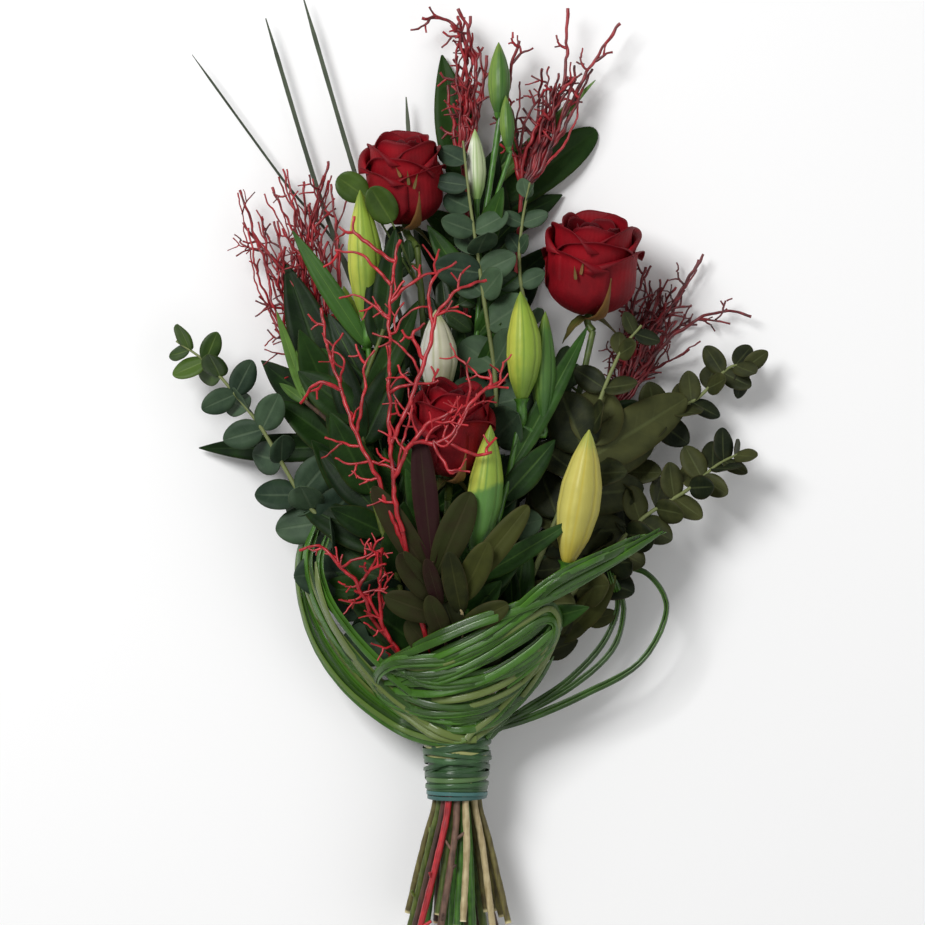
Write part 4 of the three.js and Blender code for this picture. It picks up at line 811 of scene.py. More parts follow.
def out_of_place(row, point, reach, margin):
    """Whether a leaf of this row hangs out beside the nest, or hides a bud or a bloom."""
    tip = point + reach
    if tip[1] < NEST_HEIGHT and abs(tip[0] + NEST_LEAN) > max(BOWL_NECK, tip[1]) - margin:
        return True
    samples = [point + reach * share for share in (0.3, 0.5, 0.7, 0.9)]
    for stem, foot, tip, radius, *_ in BUDS.values():
        bud_row = STEMS[stem][1]
        spine = np.array([at(bud_row, *foot) * FLAT, at(bud_row, *tip) * FLAT])
        for sample in samples:
            gap = np.linalg.norm(nearest_on(spine, sample * FLAT) - sample * FLAT)
            if row >= bud_row and gap < radius * MILLIMETRE + margin:
                return True
    for rose in ROSES.values():
        if any(np.linalg.norm((sample - rose["centre"])[:2]) < rose["radius"] + margin for sample in samples):
            return True
    return False


def stem_leaves(plant, leaves, seed, count, start, length, width):
    """Leaves in turn round a stem, from a fraction of its path to near its end, and clear of the neck."""
    draw = dice(seed)
    start = max(start, np.argmax(plant.path[:, 1] > LEAF_START) / (len(plant.path) - 1))
    for k in range(count):
        point, along, side, out = place_on(plant.path, mix(start, 0.97, k / (count - 1)))
        turn = k * GOLDEN_TURN + draw() * 0.5
        rise = math.radians(34 + 22 * draw())
        direction = unit(along * math.cos(rise) + side * (math.sin(rise) * math.cos(turn))
                         + out * (math.sin(rise) * math.sin(turn) * 0.4))
        facing = Z + side * ((draw() - 0.5) * 0.9) + along * ((draw() - 0.5) * 0.5)
        size = length * (0.8 + 0.35 * draw())
        # the tones are kept in the darker part of the range, as painted shade for leaves that lie deep among
        # the stems
        bend, twist, shade = -0.5 * draw(), (draw() - 0.5) * 0.7, 0.7 * draw()
        if not out_of_place(plant.row, point, direction * size, width * 0.3):
            leaves.add(point, direction, facing, size, width, bend, twist=twist, shade=shade)


YOUNG_START = 0.8  # share of a eucalyptus stem's leaves that are old


def pairs_of_leaves(plant, leaves, seed, pairs, start, large, small, young=None):
    """Pairs of round leaves along a eucalyptus stem, every other pair turned round it."""
    draw = dice(seed)
    for k in range(pairs):
        f = k / (pairs - 1)
        point, along, side, out = place_on(plant.path, mix(start, 0.96, f))
        size = mix(large, small, f) * MILLIMETRE
        roll = math.radians((62 if k % 2 else 6) + 30 * (draw() - 0.5))
        for hand in (-1, 1):
            spread = math.radians((50 if k % 2 else 62) + 16 * draw())
            direction = (along * math.cos(spread) + side * (hand * math.sin(spread) * math.cos(roll))
                         + out * (hand * math.sin(spread) * math.sin(roll)))
            facing = Z + along * 0.3 + X * ((draw() - 0.5) * 1.1) + Y * ((draw() - 0.5) * 1.1)
            length = size * (0.88 + 0.24 * draw())
            kind, shade = young if young and f > YOUNG_START else leaves, draw()
            if not out_of_place(plant.row, point, direction * length, -0.004):
                kind.add(point, direction, facing, length, length * mix(0.86, 0.64, f), 0.25, shade=shade)


# ----------------------------------------------------------------------------------------- the twigs

def knobbly(radius, taper):
    """A twig's radius along it: slimmer outwards, with a blunt, swollen end."""
    return lambda f: radius * (1 - taper * f) * (1 + 0.35 * math.exp(-((1 - f) / 0.08) ** 2))


def branch_off(along, side, hand, draw, ahead, least, lift=0.5):
    """A direction off a twig, ahead and to one hand, and a little up or down."""
    return along * ahead + side * (hand * (least + (1 - least) * draw())) + Z * ((draw() - 0.5) * lift)


def twig(rods, draw, start, direction, length, radius, joints, branches):
    """A branched twig that zigzags away from a point, with side twigs of its own."""
    points = [start]
    heading = unit(direction)
    for i in range(joints):
        side = unit(np.cross(heading, Z))
        bend = (1 if i % 2 else -1) * (0.2 + 0.35 * draw())
        heading = unit(heading + side * bend + Z * ((draw() - 0.5) * 0.3))
        points.append(points[i] + heading * (length / joints))
    rods.add(smooth(points, 4), knobbly(radius, 0.45), shade=draw())
    side = unit(np.cross(direction, Z))
    for b in range(branches):
        away = branch_off(unit(direction), side, 1 if b % 2 else -1, draw, 0.8, 0.6)
        twig(rods, draw, points[1 + b % 2], away, length * (0.5 + 0.2 * draw()), radius * 0.75, 1, 0)


def fan(seed, base, left, right, count, jitter=24, bow=34):
    """Slim bowed arms on the grid, which spread from one place to a line of tips between two others."""
    draw = dice(seed)
    spots = []
    for k in range(count):
        tip = [mix(left[i], right[i], (k + 0.5) / count) + (draw() - 0.5) * jitter for i in range(2)]
        reach = 0.7 + 0.3 * draw()
        lean = (draw() - 0.5) * bow
        points = [(base[0] + (draw() - 0.5) * 8, base[1] + draw() * 10)]
        for share in (0.25, 0.5, 0.75, 1.0):
            bowed = lean * math.sin(share * math.pi) + (draw() - 0.5) * 7
            px, py = (mix(base[i], tip[i], share * reach) for i in range(2))
            points.append((px + bowed, py + bowed * 0.2, (draw() - 0.5) * 26 * share))
        spots.append(points)
    return spots


ARM_TWIGS = 2  # long twigs along each arm
ARM_SPRIGS = 3  # shorter, more branched ones between them


def rooted(spots, row, grown):
    """A path on given points, whose start moves to the nearest of the lines grown so far."""
    path = np.array([at(row, *point) for point in spots])
    roots = [nearest_on(line, path[0]) for line in grown]
    path[0] = min(roots, key=lambda root: np.linalg.norm(root - path[0]))
    return path


def arms(plant, seed, radius, length, spots, thicket, skin, sprigs):
    """Arms, each rooted on the stem or an older arm, and a thicket of slimmer ones, all with twigs."""
    rods = Rods(sides=8, step=0.0025, knots=0.35, wander=0.006, knot_scale=160.0)
    grown = [plant.path]
    for a, arm in enumerate(spots):
        path = rooted(arm, plant.row, grown)
        grown.append(path)
        rods.add(smooth(path), knobbly(radius, 0.5))
        for k in range(ARM_TWIGS + ARM_SPRIGS):
            draw = dice(seed + 1723 * a + 7919 * k)
            long = k < ARM_TWIGS
            spot = (k + 0.6 * draw()) / ARM_TWIGS if long else (k - ARM_TWIGS + draw()) / ARM_SPRIGS
            point, along, side, _ = place_on(path, mix(0.1, 0.95, spot))
            away = branch_off(along, side, 1 if k % 2 else -1, draw, 0.75, 0.5)
            reach = length * (0.6 + 0.6 * draw()) * (1 if long else 0.6)
            twig(rods, draw, point, away, reach, radius * 0.62, 2, 1 if long else 2)
    for a, arm in enumerate(thicket):
        path = smooth(rooted(arm, plant.row, grown))
        draw = dice(seed + 61 * a + 5)
        slim = radius * (0.55 + 0.4 * draw())
        rods.add(path, knobbly(slim, 0.5), shade=draw())
        for k in range(sprigs):
            point, along, side, _ = place_on(path, 0.25 + 0.7 * draw())
            away = branch_off(along, side, 1 if k % 2 else -1, draw, 0.8, 0.4, 1.0)
            twig(rods, draw, point, away, length * (0.4 + 0.6 * draw()), slim * 0.8, 2, 1)
    place_piece(rods.grow(plant.node + "_arms", skin), plant.slot, plant.node)


# ----------------------------------------------------------------------------------------- the roses

def rose_data(centre, lean, radius, seed, turned, tall, torn=()):
    """A rose's middle, axis and sizes, the turn of its petals, and small torn edges: px, py, length, lean."""
    return dict(centre=centre, axis=unit(np.array([lean, 1, 0.3])), radius=radius, seed=seed, turned=turned,
                tall=tall, torn=torn)


ROSES = {
    "top": rose_data(at(2, 403, 178, 4), -0.06, 0.0325, 11, -1.15, 0.98,
                     [(409, 186, 12, -0.1), (414, 190, 13, 0.25), (401, 178, 9, -0.5)]),
    "right": rose_data(at(2, 592, 265, 12), 0.06, 0.0385, 23, -0.85, 0.9,
                       [(575, 281, 12, -0.1), (580, 276, 13, 0.2)]),
    "front": rose_data(at(5, 452, 430, -6), 0.05, 0.031, 37, 0.5, 1.08),
}
ROSE_RINGS = [  # petals, size, height, curl of the rim, spread in degrees, closing
    (3, 1.0, 1.62, 1.5, 76, 0.02),
    (3, 0.95, 1.95, 1.1, 76, 0.0),
    (3, 0.87, 2.18, 0.7, 74, -0.03),
    (3, 0.76, 2.22, 0.3, 74, -0.08),
    (4, 0.62, 2.14, 0.2, 66, -0.12),
    (4, 0.46, 2.06, 0.1, 70, -0.16),
    (3, 0.3, 1.98, 0.1, 90, -0.2),
]
PETAL_COLUMNS = 20
PETAL_ROWS = 26
PETAL_RIM = 0.8  # share of a petal's length below the rim


def petal(rose, around, radius, height, spread, curl, closing, draw):
    """A petal of a cup: part of a bowl round the axis, with a rounded rim that curls outwards."""
    axis = rose["axis"]
    side = unit(np.cross(axis, Z))
    other = np.cross(axis, side)
    u, v = np.meshgrid(np.linspace(-1, 1, PETAL_COLUMNS), np.linspace(0, 1, PETAL_ROWS))
    phase, lean = draw() * 6, (draw() - 0.5) * 0.14
    rim = np.clip((v - PETAL_RIM) / (1 - PETAL_RIM), 0, 1)  # 0 below the rim, 1 at its edge
    turn = around + u * spread * (0.35 + 0.65 * np.minimum(1, v / 0.3) ** 0.6) * (1 - 0.25 * rim ** 2)
    bowl = 0.1 + 0.9 * np.sin(np.minimum(1, v / 0.4) * math.pi / 2) ** 0.5
    curled = np.maximum(0.03, curl * (0.65 + 0.5 * np.abs(u) + 0.25 * np.sin(3 * u + phase)))
    arc = 0.15 * height
    closed = closing * np.clip((v - 0.4) / 0.6, 0, 1) ** 2
    r = radius * (bowl + 0.05 * u + closed + 0.025 * np.sin(4 * u + phase) * v ** 2)
    r = r + arc * (1 - np.cos(curled * rim)) / curled
    h = 0.86 * height * np.minimum(v, PETAL_RIM) / PETAL_RIM + arc * np.sin(curled * rim) / curled
    h = h * (1 - v ** 2 * (0.13 * u ** 2 + 0.1 * np.abs(u) ** 6)) + height * lean * u * v ** 2  # rounded
    h = h + height * 0.012 * np.sin(6 * u + phase) * rim - rose["radius"] * rose["tall"] * ROSE_FOOT
    points = (rose["centre"] + (r * np.cos(turn))[..., None] * side + (r * np.sin(turn))[..., None] * other
              + h[..., None] * axis)
    return points.reshape(-1, 3), u.ravel(), v.ravel()


def rose_bloom(node, rose):
    """The bloom: rings of petals, low outside and tall inside, which close towards a tight middle."""
    draw = dice(rose["seed"])
    grids, faces, us, ss, cup_shades = [], [], [], [], []
    for n, (count, size, tall, curl, spread, closing) in enumerate(ROSE_RINGS):
        for k in range(count):
            around = (k + 0.5 * n + 1 / 6) / count * math.tau + (draw() - 0.5) * 0.2 + rose["turned"]
            radius = rose["radius"] * size * (0.88 + 0.05 * draw())
            height = rose["radius"] * rose["tall"] * tall * (0.97 + 0.05 * draw())
            grid, u, v = petal(rose, around, radius, height, math.radians(spread),
                               curl * (0.8 + 0.4 * draw()), closing, draw)
            start = len(grids) * PETAL_COLUMNS * PETAL_ROWS
            faces += [tuple(start + i for i in face) for face in sheet_faces(PETAL_COLUMNS, PETAL_ROWS)]
            grids.append(grid)
            us.append(u)
            ss.append(v)
            # painted shade for the inner petals, stronger the smaller the ring, read by the petal skin
            cup_shades.append(np.clip((1 - size) * 1.2 - 0.4 * v * (size > 0.7), 0, 1))
    values = {"u": np.concatenate(us), "s": np.concatenate(ss), "deep": np.concatenate(cup_shades)}
    piece = mesh_piece(node + "_petals", np.concatenate(grids), faces, values, PETALS, sheet=True)
    place_piece(piece, "rose_red", node)


def rose_foot(plant, rose):
    """The stalk's end, the bulb under the bloom, its five sepals and the torn edges on its front."""
    axis, radius = rose["axis"], rose["radius"]
    foot = rose["centre"] - axis * radius * rose["tall"] * ROSE_FOOT
    stalk = smooth([plant.path[-1], foot - axis * 0.009, foot, foot + axis * 0.004])
    plant.rods.add(stalk, lambda f: 0.003 + 0.0055 * clamp01((f - 0.55) / 0.35) ** 2)
    draw = dice(rose["seed"])
    root = foot - axis * 0.0035
    side = unit(np.cross(axis, Z))
    other = np.cross(axis, side)
    sepals = plant.leaves("sepals", SEPAL, base=0.3, tip=1.3, teeth=0.1, fold=0.3, wave=0.03)
    for k in range(5):
        turn = k / 5 * math.tau - math.pi / 2 + 0.25
        outward = side * math.cos(turn) + other * math.sin(turn)
        raised = k in (0, 2)  # two lie up against the bloom and the others fold down
        direction = outward - axis * (0.05 if raised else 0.25 + 0.5 * draw())
        size, bend = (2.1, 1.5) if raised else (0.75, -0.6)
        shade = 0.85 if raised else 0.2 * draw()
        sepals.add(root + outward * 0.003, direction, axis, radius * size, 0.012, bend, shade=shade)
    for px, py, long, lean in rose["torn"]:
        spot = at(plant.row, px, py)
        spot[2] = rose["centre"][2] + radius * 0.97
        sepals.add(spot, Y + lean * X, Z, 1.2 * long * PIXEL, 0.0026, 0.4, shade=0.2 + 0.8 * draw())


ROSE_LEAF_LENGTH = 0.056
LEAFLETS = [(0.25, -1), (0.25, 1), (0.62, -1), (0.62, 1), (1.0, 0)]  # share of the stalk, hand


def rose_leaf(plant, fraction, hand):
    """A rose leaf: a stalk with five toothed leaflets."""
    point, along, side, _ = place_on(plant.path, fraction)
    heading = unit(along * 0.5 + side * hand)
    across = unit(np.cross(heading, Z))
    tip = point + heading * ROSE_LEAF_LENGTH * 0.6
    plant.rods.add(smooth([point, mix(point, tip, 0.5) - Z * 0.001, tip]), tapered(0.0011, 0.0005))
    leaflets = plant.leaves("leaflets", ROSE_LEAF, base=0.55, tip=0.7, teeth=0.08, rows=22, fold=0.3)
    draw = dice(int(fraction * 1000) + 7)
    for share, turned in LEAFLETS:
        direction = heading * (0.45 if turned else 1) + across * turned
        size = ROSE_LEAF_LENGTH * (0.46 if share > 0.5 else 0.34)
        facing = Z + X * 0.2 + across * (draw() - 0.5) * 0.6
        leaflets.add(mix(point, tip, share), direction, facing, size, size * 0.62, -0.3, shade=draw())


# ------------------------------------------------------------------------------------------ the buds

# Each bud: its stem, foot, tip, radius, lift and rise in millimetres, skin and slot.
BUDS = {
    "lily_top_bud_white": ("lily_top_stem", (477, 203), (475, 127), 8, 6, 0, BUD_WHITE, "bud_white"),
    "lily_top_bud_green": ("lily_top_stem", (499, 115), (499, 38), 9, 0, 0, BUD_GREEN, "bud_green"),
    "lily_top_bud_small": ("lily_top_stem", (509, 150), (506, 93), 6, 8, 0, BUD_GREEN, "bud_green"),
    "lily_left_bud": ("lily_left_stem", (367, 326), (360, 190), 14, 4, 4, BUD_LIME, "bud_lime"),
    "lily_left_bud_small": ("lily_left_stem", (353, 350), (343, 285), 8, -16, 0, BUD_LIME, "bud_lime"),
    "lily_cream_bud": ("lily_cream_stem", (438, 401), (436, 310), 15, 0, 8, BUD_CREAM, "bud_cream"),
    "lily_centre_bud": ("lily_centre_stem", (521, 404), (520, 293), 14, 6, 4, BUD_LIME, "bud_lime"),
    "lily_centre_bud_dark": ("lily_centre_stem", (543, 425), (545, 312), 10, -4, 0, BUD_GREEN, "bud_green"),
    "lily_pale_bud": ("lily_pale_stem", (566, 566), (588, 430), 17, 12, 6, BUD_YELLOW, "bud_yellow"),
    "lily_front_bud": ("lily_front_stem", (474, 557), (490, 426), 14, 10, 10, BUD_TWO_TONE, "bud_lime"),
}
BUD_OUTLINE = [(0, 0.0), (0.02, 0.24), (0.08, 0.42), (0.22, 0.78), (0.42, 1.0), (0.6, 0.95), (0.78, 0.66),
               (0.9, 0.36), (0.965, 0.17), (1, 0.0)]  # share of the length, share of the radius
BUD_COLUMNS = 72
BUD_ROWS = 44


def lily_bud(name, plant):
    """A closed bud of three ribbed outer leaves, with the seams between them."""
    _, foot, tip, radius, lift, rise, skin, slot = BUDS[name]
    base, point = at(plant.row, *foot, lift), at(plant.row, *tip, lift + rise)
    radius = radius * MILLIMETRE
    reach = point - base
    axis = unit(reach)
    side = unit(np.cross(axis, Z))
    out = np.cross(side, axis)
    draw = dice(foot[0] * 7 + foot[1])
    phase = math.pi / 2 + 0.1 + (draw() - 0.5) * 0.4
    levels = np.sin(np.linspace(0, math.pi / 2, BUD_ROWS)) ** 1.15
    turn, s = np.meshgrid(np.arange(BUD_COLUMNS) / BUD_COLUMNS * math.tau, levels)
    knots, widths = zip(*BUD_OUTLINE)
    outline = sum(np.interp(s + shift, knots, widths) for shift in (-0.02, 0, 0.02)) / 3
    outline[0], outline[-1] = 0, 0
    lobe = (turn - phase + math.pi / 3) % (math.tau / 3) - math.pi / 3  # from the nearest rib
    rib = np.exp(-(lobe / 0.16) ** 2)
    seam = np.exp(-((math.pi / 3 - np.abs(lobe)) / 0.09) ** 2)
    groove = np.exp(-((np.abs(lobe) - 0.2) / 0.055) ** 2) * np.clip(s * 12, 0, 1)
    ridge = 1 + 0.06 * np.cos(3 * (turn - phase)) + 0.02 * rib - 0.06 * seam - 0.03 * groove
    bow = 0.05 * np.linalg.norm(reach) * np.sin(s * math.pi) * (draw() - 0.5)
    r = outline * ridge * radius
    points = (base + s[..., None] * reach + (r * np.cos(turn) + bow)[..., None] * side
              + (r * np.sin(turn))[..., None] * out)
    # shade runs from 0 on the bud's right side to 1 on its left; the skin paints light on the left and shade
    # on the right with it
    shade = 0.5 - 0.5 * np.cos(turn - 0.2)
    values = {"s": s.ravel(), "seam": np.maximum(seam * 0.6, groove).ravel(), "shade": shade.ravel()}
    faces = sheet_faces(BUD_COLUMNS, BUD_ROWS, closed=True)
    place_piece(mesh_piece(name + "_skin", points.reshape(-1, 3), faces, values, skin), slot, name)
    thin = radius * 0.28
    stalk = smooth([plant.path[-1], base - axis * 3 * thin, base - axis * 0.001, base + axis * 0.004])
    plant.rods.add(stalk, lambda f: thin * (1 + 0.6 * clamp01((f - 0.7) / 0.3)))


# ----------------------------------------------------------------------------------------- the grass

BLADE_PITCH = 1.7  # between blades side by side, in half widths
BLADE_LAYER = 0.0016
WIND_STEPS = 44
WIND_OVERLAP = 0.35  # in radians, where a turn closes on the back
WIND_LAYER = 0.0007


def from_axis(point):
    """The way a blade of the nest faces: off the neck's axis, and upwards where the nest is low."""
    return unit(np.array([point[0] * 0.5, 0, max(0.045, point[2] - NECK_HEIGHT)]))


def strand(rods, path, half_width, copies, seed, shade=None):
    """Blades side by side along one path, which may cross on their way and taper at their tips."""
    draw = dice(seed)
    path = smooth(path)
    if path[0][1] < BINDING_TOP + 0.004:
        path[0][1] = BINDING_TOP - 0.004  # under the binding
    for j in range(copies):
        shift = (j - (copies - 1) / 2) * half_width * BLADE_PITCH
        cross = 2.0 * draw() - 0.8  # below 0 they change sides
        moved = []
        for i, point in enumerate(path):
            along = unit(path[min(len(path) - 1, i + 1)] - path[max(0, i - 1)])
            out = from_axis(point)
            side = unit(np.cross(along, out))
            spread = clamp01(i / 6) * mix(1, cross, i / len(path))
            moved.append(point + side * shift * spread + out * (BLADE_LAYER * (j % 2) + 0.0004 * draw()))
        tone = draw()
        tapering = lambda f: half_width * min(1, 0.35 + 8 * (1 - f))
        rods.add(np.array(moved), tapering, from_axis, shade or tone)


COLLAR = [
    [(466, 742), (434, 740), (402, 731), (366, 707), (338, 680), (315, 645), (302, 606), (298, 566, -4),
     (306, 532, -22)],
    [(470, 738), (440, 736), (405, 725), (372, 703), (345, 675), (322, 640), (306, 602), (301, 560, -4),
     (310, 528, -24)],
    [(474, 736), (444, 732), (410, 716), (380, 694), (352, 664), (330, 630), (314, 594), (308, 556, -6),
     (318, 524, -26)],
    [(476, 735), (448, 730), (416, 710), (386, 687), (358, 656), (336, 626), (320, 592), (313, 560, -8),
     (320, 530, -28)],
    [(478, 733), (452, 728), (424, 702), (394, 678), (366, 650), (345, 624), (328, 596), (320, 564, -8),
     (328, 534, -28)],
    [(472, 740), (438, 738), (408, 722), (376, 698), (348, 668), (326, 634), (310, 598), (304, 566, -6),
     (310, 536, -26)],
]
FADED_BAND = [(476, 741), (440, 735), (410, 717), (382, 694), (356, 662), (334, 626), (321, 592),
              (316, 562, -10)]
TURNED = [  # blades that turn back round the left side
    [(520, 626, -3), (478, 646, -2), (436, 660), (402, 662), (382, 668), (374, 684), (381, 700), (406, 712),
     (450, 722), (496, 716, -3)],
    [(506, 644, -3), (462, 656, -2), (424, 659), (394, 662), (378, 675), (378, 690), (396, 704), (434, 713),
     (480, 708), (516, 690, -3)],
]
FRONT = [
    [(384, 664), (430, 640), (470, 622), (510, 608), (556, 590, 6), (606, 562, 18), (660, 530, 32)],
    [(392, 674), (443, 653), (484, 633), (512, 613), (548, 582, 6), (590, 560, 16), (637, 542, 26),
     (664, 532, 32)],
    [(398, 680), (450, 656), (490, 637), (522, 614), (558, 588, 6), (600, 566, 16), (650, 540, 30)],
    [(440, 662), (486, 640), (524, 604), (560, 574, 10), (604, 554, 20), (640, 538, 30)],
    [(384, 670), (436, 664), (484, 644), (526, 618), (548, 607), (557, 622), (546, 640), (522, 660)],
    [(386, 683), (434, 678), (476, 660), (512, 637), (540, 618), (554, 622), (550, 642), (528, 664),
     (504, 684)],
    [(400, 697), (452, 697), (498, 684), (532, 659), (552, 634)],
    [(414, 714), (456, 717), (500, 708), (532, 688), (552, 656)],
    [(394, 664), (424, 679), (462, 680), (510, 668), (540, 648), (554, 626)],
    [(388, 690), (432, 690), (482, 676), (524, 650), (550, 626)],
    [(408, 706), (456, 708), (502, 694), (536, 668), (552, 640)],
    [(384, 668), (424, 673), (470, 664), (516, 642), (548, 616)],
    [(424, 724), (460, 728), (492, 720), (516, 702), (540, 674)],
    [(474, 738), (498, 722), (520, 698), (538, 672), (552, 644), (558, 618)],
    [(466, 736), (490, 718), (512, 694), (532, 668), (548, 640)],
    [(398, 692), (430, 702), (470, 704), (508, 692), (538, 664)],
]
LOOPS = [
    [(490, 733), (532, 719), (584, 696), (640, 664), (667, 612), (650, 577, -4), (616, 566, -14)],
    [(489.2, 733), (524, 712), (566, 684), (602, 646), (618, 606), (608, 572, -8)],
    [(486, 731), (524, 714), (572, 688), (612, 652), (624, 610), (612, 574, -8)],
]
UPRIGHTS = [
    [(438, 620), (400, 420), (345, 260), (280, 175), (187, 47)],
    [(435, 600), (414, 450), (370, 330), (320, 200), (262, 10)],
    [(431, 566), (424, 440), (398, 310), (355, 175), (300, -12)],
    [(430, 561), (432, 400), (415, 230), (405, 90)],
]


def grass_rods(flatness, crease):
    return Rods(sides=10, step=0.004, flatness=flatness, crease=crease, knots=0.12, knot_scale=60.0)


def nest_path(spots, lift, tucked=0):
    """A path on the nest, lifted as a whole, whose first point may be tucked under the blades beside it."""
    lifts = [lift - tucked] + [lift] * (len(spots) - 1)
    return [bowl_point(px, py, sum(own) + extra) for (px, py, *own), extra in zip(spots, lifts)]


def wind(rods, low, high, turns, radius, half_width, slant, seed):
    """Turns of a blade wound round the neck, each closed on the back. Slanted ones lie in three layers."""
    draw = dice(seed)
    for k in range(turns):
        level = mix(low, high, (k + 0.5) / turns)
        tilt = slant * (draw() - 0.5) * 2
        lean = draw() * math.tau
        reach = mix(radius[0], radius[1], (k + 0.5) / turns) + WIND_LAYER * (k % 3) * (slant > 0)
        path = []
        for t in np.linspace(-math.pi / 2, 1.5 * math.pi + WIND_OVERLAP, WIND_STEPS):
            y = level + tilt * math.sin(t + lean)
            path.append(np.array([reach * math.cos(t), y, NECK_HEIGHT + reach * math.sin(t)]))
        outward = lambda point: unit(np.array([point[0], 0, point[2] - NECK_HEIGHT]))
        rods.add(np.array(path), lambda f: half_width, outward, draw())


# --------------------------------------------------------------------------------------- the bouquet

# kinds of leaf outline
LANCE = dict(base=0.6, tip=0.9)
OVAL = dict(base=0.6, tip=0.5, rows=18)
POINTED = dict(base=0.62, tip=0.95, columns=7, rows=20)
BROAD = dict(base=0.62, tip=0.5, columns=7, rows=20)
GUM = dict(base=0.5, tip=0.6, fold=0.12, ripples=1.5)


def coral(node, seed, radius, length, skin, sprigs, spots, thicket):
    """A stem of painted twigs: its arms, the slimmer ones and so many sprigs on each of those."""
    plant = Plant(node)
    arms(plant, seed, radius, length, spots, thicket, skin, sprigs)
    plant.grow()


def eucalyptus(node, skin, seed, pairs, start, large, small, spots=(), young=False):
    """A eucalyptus stem with pairs of round leaves, large to small in millimetres, and listed ones."""
    plant = Plant(node)
    leaves = plant.leaves("leaves", skin, **GUM)
    named_leaves(plant, leaves, spots)
    youngest = plant.leaves("young_leaves", ROUND_LEAF, **GUM) if young else None
    pairs_of_leaves(plant, leaves, seed, pairs, start, large, small, youngest)
    plant.grow()


def greenery(node, skin, shape, spots, *whorls):
    """A leafy stem, not grown yet: its listed leaves, then those in turn round it."""
    plant = Plant(node)
    leaves = plant.leaves("leaves", skin, **shape)
    named_leaves(plant, leaves, spots)
    for whorl in whorls:
        stem_leaves(plant, leaves, *whorl)
    return plant


# Leafy greenery.
top_leaves = greenery("top_leaves", GLOSSY_LEAF, POINTED, [
    (464, 172, 441, 46, 38, 6, 1.0), (478, 240, 420, 205, 26, 0), (484, 300, 560, 240, 26, 0),
    (478, 390, 600, 404, 26, -17), (480, 210, 520, 120, 30, -6), (478, 260, 540, 172, 32, -8),
    (476, 300, 412, 222, 34, -8), (478, 330, 545, 262, 34, -6), (482, 400, 400, 330, 36, -10),
    (482, 420, 556, 350, 36, -10), (484, 230, 566, 190, 30, 0, 0.3)],
    (213, 4, 0.5, 0.066, 0.026), (513, 20, 0.4, 0.088, 0.035))
for kind, skin, shape, spot in [
    ("round_leaf", GLOSSY_LEAF, BROAD, (520, 205, 602, 124, 38, 2, 0.9)),
    ("bright_leaves", BRIGHT_LEAF, LANCE, (546, 186, 597, 78, 13, 30, 0.9)),
]:
    named_leaves(top_leaves, top_leaves.leaves(kind, skin, **shape), [spot])
top_leaves.grow()

left_leaves = greenery("left_leaves", GLOSSY_LEAF, POINTED, [
    (356, 438, 282, 260, 48, 6, 0.2), (352, 445, 187, 451, 27, -18, 0.3), (332, 402, 306, 300, 14, -8),
    (372, 500, 318, 402, 36, -6), (380, 540, 310, 470, 34, -14)],
    (515, 14, 0.4, 0.08, 0.032))
row = left_leaves.row
shoot = smooth([nearest_on(left_leaves.path, at(row, 366, 470)), at(row, 332, 425, 22), at(row, 306, 402, 16),
                at(row, 298, 385, 14)])
left_leaves.rods.add(shoot, tapered(0.0022, 0.0008))
bright = left_leaves.leaves("bright_leaves", BRIGHT_LEAF, **LANCE)
for foot, tip, wide, shade in [
    ((306, 404), (276, 310), 10, 0.8), ((303, 398), (282, 344), 5, 0.9),
    ((305, 402), (279, 383), 9, 0.3), ((300, 392), (296, 350), 6, 0.6),
]:
    leaf_between(bright, at(row, *foot, 16), at(row, *tip, 14), wide * PIXEL * 1.2, 0.3, shade)
left_leaves.grow()

greenery("dark_leaves", GLOSSY_LEAF, LANCE, [
    (384, 335, 396, 228, 26, 0), (370, 440, 330, 340, 28, 6), (366, 410, 420, 300, 26, -6),
    (378, 510, 318, 450, 30, 0), (384, 350, 380, 250, 26, -6), (400, 590, 312, 590, 32, -6),
    (400, 580, 330, 540, 34, -8), (404, 600, 345, 640, 28, -12), (426, 702, 398, 640, 28, -4),
    (432, 700, 440, 616, 32, -8), (436, 708, 470, 632, 30, -6), (420, 680, 376, 616, 30, -4)],
    (215, 4, 0.5, 0.058, 0.024), (517, 14, 0.4, 0.078, 0.031)).grow()

greenery("right_leaves", OLIVE_LEAF, LANCE, [
    (560, 640, 606, 596, 24, -18), (545, 652, 580, 642, 22, -16), (588, 622, 620, 614, 18, -22),
    (560, 640, 548, 590, 20, -20), (520, 670, 500, 600, 36, -10, 0.1), (500, 690, 480, 630, 30, -8, 0.2),
    (540, 655, 540, 580, 34, -12, 0.2), (572, 630, 616, 578, 26, -10, 0.9)],
    (217, 4, 0.75, 0.040, 0.020)).grow()

# Lilies: the stem, its whorl of leaves, how many wider ones lie among them, and listed ones.
LILIES = [
    ("lily_top_stem", (209, 6, 0.45, 0.058, 0.013), 12, []),
    ("lily_left_stem", (201, 6, 0.45, 0.062, 0.014), 14, [
        (366, 348, 290, 230, 19, 14, 1.0), (372, 400, 326, 312, 26, 0, 0.0)]),
    ("lily_cream_stem", (203, 4, 0.5, 0.058, 0.014), 14, []),
    ("lily_centre_stem", (205, 4, 0.5, 0.062, 0.015), 14, [
        (512, 470, 590, 325, 20, 4), (505, 500, 556, 440, 26, 4), (500, 520, 470, 420, 20, -4)]),
    ("lily_pale_stem", (207, 4, 0.5, 0.056, 0.015), 12, []),
    ("lily_front_stem", (211, 4, 0.55, 0.046, 0.014), 8, [(474, 580, 572, 522, 20, 8)]),
]
for node, whorl, more, spots in LILIES:
    seed, _, _, length, width = whorl
    lily = greenery(node, GREEN_LEAF, LANCE, spots,
                    whorl, (seed + 300, more, 0.38, length * 1.15, width * 1.6))
    for name, bud in BUDS.items():
        if bud[0] == node:
            lily_bud(name, lily)
    lily.grow()

